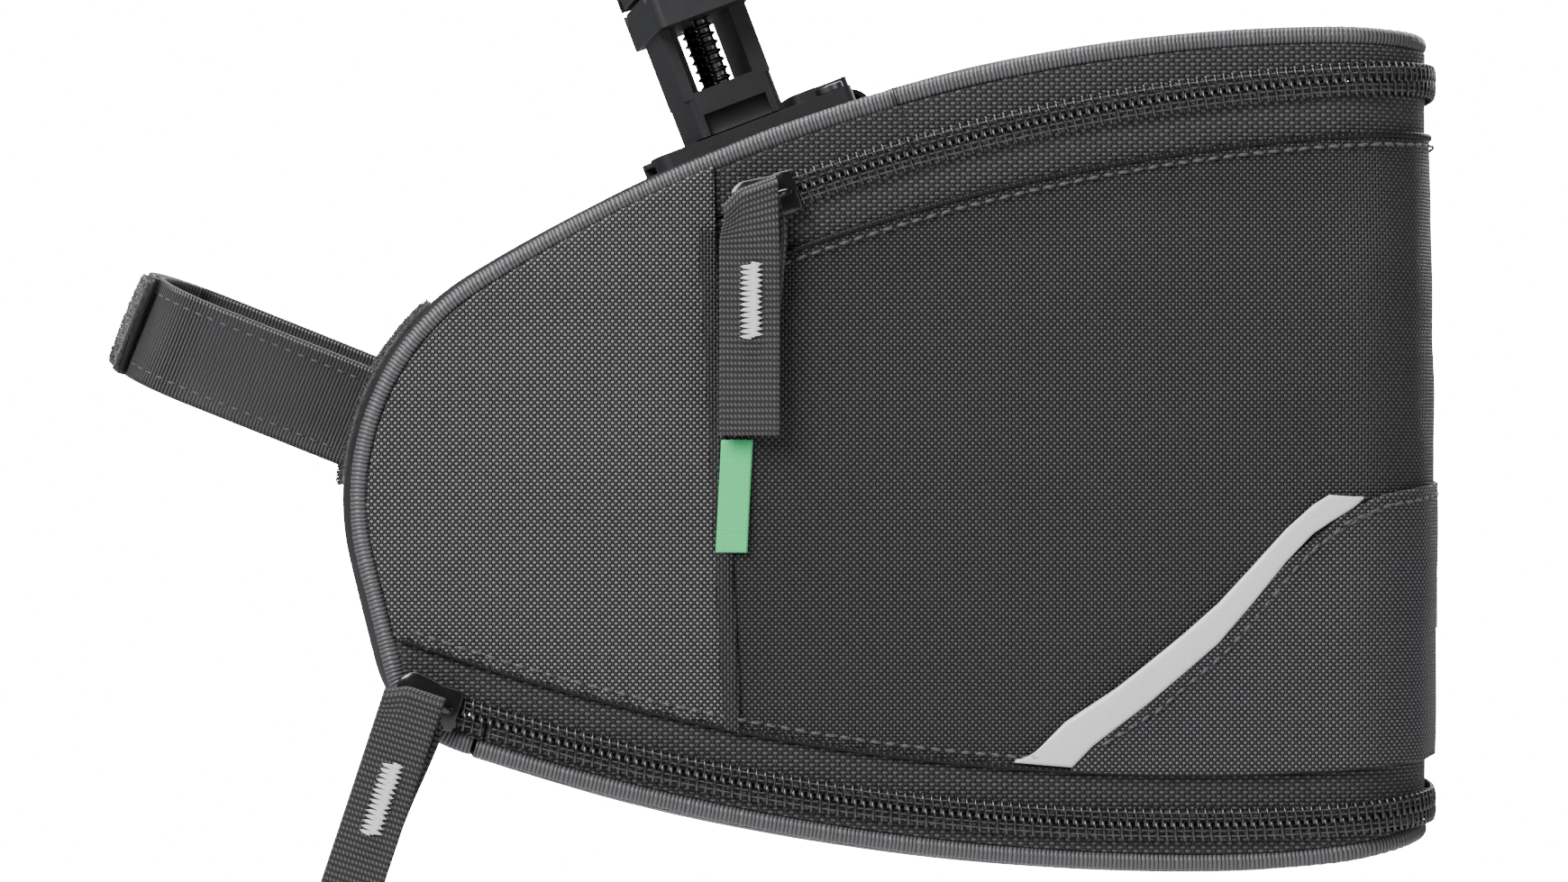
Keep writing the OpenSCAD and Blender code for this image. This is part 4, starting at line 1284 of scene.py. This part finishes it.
def fuzz(name, source, body, count, size):
    """Short stray fibres standing on a piece."""
    mesh = bpy.data.objects[source].data
    faces = [f for f in mesh.polygons]
    places = []
    for _ in range(count):
        face = random.choice(faces)
        n = face.normal
        lean = Vector((random.uniform(-1, 1), random.uniform(-1, 1), random.uniform(-1, 1))) * 0.8
        z = (n + lean).normalized()
        x = z.orthogonal().normalized()
        spread = mesh.vertices[random.choice(face.vertices)].co.lerp(face.center, random.random())
        places.append(axes(spread + z * 0.4 * size * MM, x, z.cross(x), z) @ Matrix.Diagonal((1, 1, size, 1)))
    return settle(scattered(name, HAIR, places, PILE), body, "hook_fuzz")


fuzz("anchor_fuzz", "anchor_pile", "bag", 2600, 1.0)
fuzz("hook_fuzz_hairs", "hook_patch_pile", "strap_wing", 1500, 0.9)


# ---------- hard pieces ----------

HARD_PIECES = (
    ("tower_moulding", "clamp_tower", MOULDED, "moulded_black", 0.45),
    ("jaw_below", "lower_jaw", MOULDED, "moulded_black", 0.5),
    ("jaw_above", "upper_jaw", MOULDED, "moulded_black", 0.5),
    ("jaw_washer_pair", "jaw_washers", WASHER, "washer_steel", 0.1),
    ("left_clamp_screw", "screw_left", SCREW, "screw_steel", 0.1),
    ("right_clamp_screw", "screw_right", SCREW, "screw_steel", 0.1),
    ("socket_moulding", "base_socket", MOULDED, "moulded_black", 0.6),
    ("socket_screw_set", "socket_screws", SCREW, "screw_steel", 0.2),
    ("backing_sheet", "backing_plate", SHEET, "stiffener", 0.2),
    ("tray_sheet", "tray_board", SHEET, "stiffener", 0.2),
    ("release_tongue_web", "release_tongue", WEBBING, "webbing", 0.2))
for name, node, stuff, slot, width in HARD_PIECES:
    body = next(b for b, nodes in frame["record"]["behaviour"]["bodies"].items() if node in nodes)
    settle(refined(name, node, stuff, width), body, slot, node)


# ---------- floor, light and camera ----------

floor_mesh = bmesh.new()
bmesh.ops.create_circle(floor_mesh, segments=96, radius=2.4, cap_ends=True)
floor = finish_mesh("floor", floor_mesh, material("pale_floor", "#d9d9db", 0.9)[0], smooth=False)
floor.location.z = -0.45

world = bpy.data.worlds.new("studio")
bpy.context.scene.world = world
world.use_nodes = True
tree = world.node_tree
sky = tree.nodes["Background"]
sky.inputs["Color"].default_value = (0.75, 0.77, 0.8, 1)
sky.inputs["Strength"].default_value = 0.16
white = add(tree, "Background", Color=(1, 1, 1, 1), Strength=24.0)
seen = add(tree, "LightPath").outputs["Is Camera Ray"]
mixed = add(tree, "MixShader", i0=seen, i1=sky.outputs[0], i2=white.outputs[0])
tree.links.new(mixed.outputs[0], tree.nodes["World Output"].inputs["Surface"])

TARGET = row(82.6, -39.4, 82.7)
BACK = Vector((-sin(TAPER), -cos(TAPER), 0))


def lamp(name, where, size, power):
    data = bpy.data.lights.new(name, "AREA")
    data.shape, data.size, data.energy = "RECTANGLE", size[0], power
    data.size_y = size[1]
    light = bpy.data.objects.new(name, data)
    bpy.context.scene.collection.objects.link(light)
    light.location = TARGET + Vector(where)
    light.rotation_mode = "QUATERNION"
    light.rotation_quaternion = (light.location - TARGET).to_track_quat("Z", "Y")
    return light


lamp("key", (-0.55, -0.6, 0.5), (0.5, 0.5), 13)
lamp("fill", (0.9, -1.0, 0.15), (0.7, 0.7), 4)
lamp("top", (0.0, 0.1, 1.0), (1.0, 0.5), 16)
lamp("rim", (0.5, 0.9, 0.5), (0.8, 0.8), 8)

camera_data = bpy.data.cameras.new("camera")
camera_data.sensor_width = 36
camera_data.lens = 108
camera = bpy.data.objects.new("camera", camera_data)
bpy.context.scene.collection.objects.link(camera)
camera.location = TARGET + BACK * 0.9
camera.rotation_mode = "QUATERNION"
camera.rotation_quaternion = BACK.to_track_quat("Z", "Y")
bpy.context.scene.camera = camera
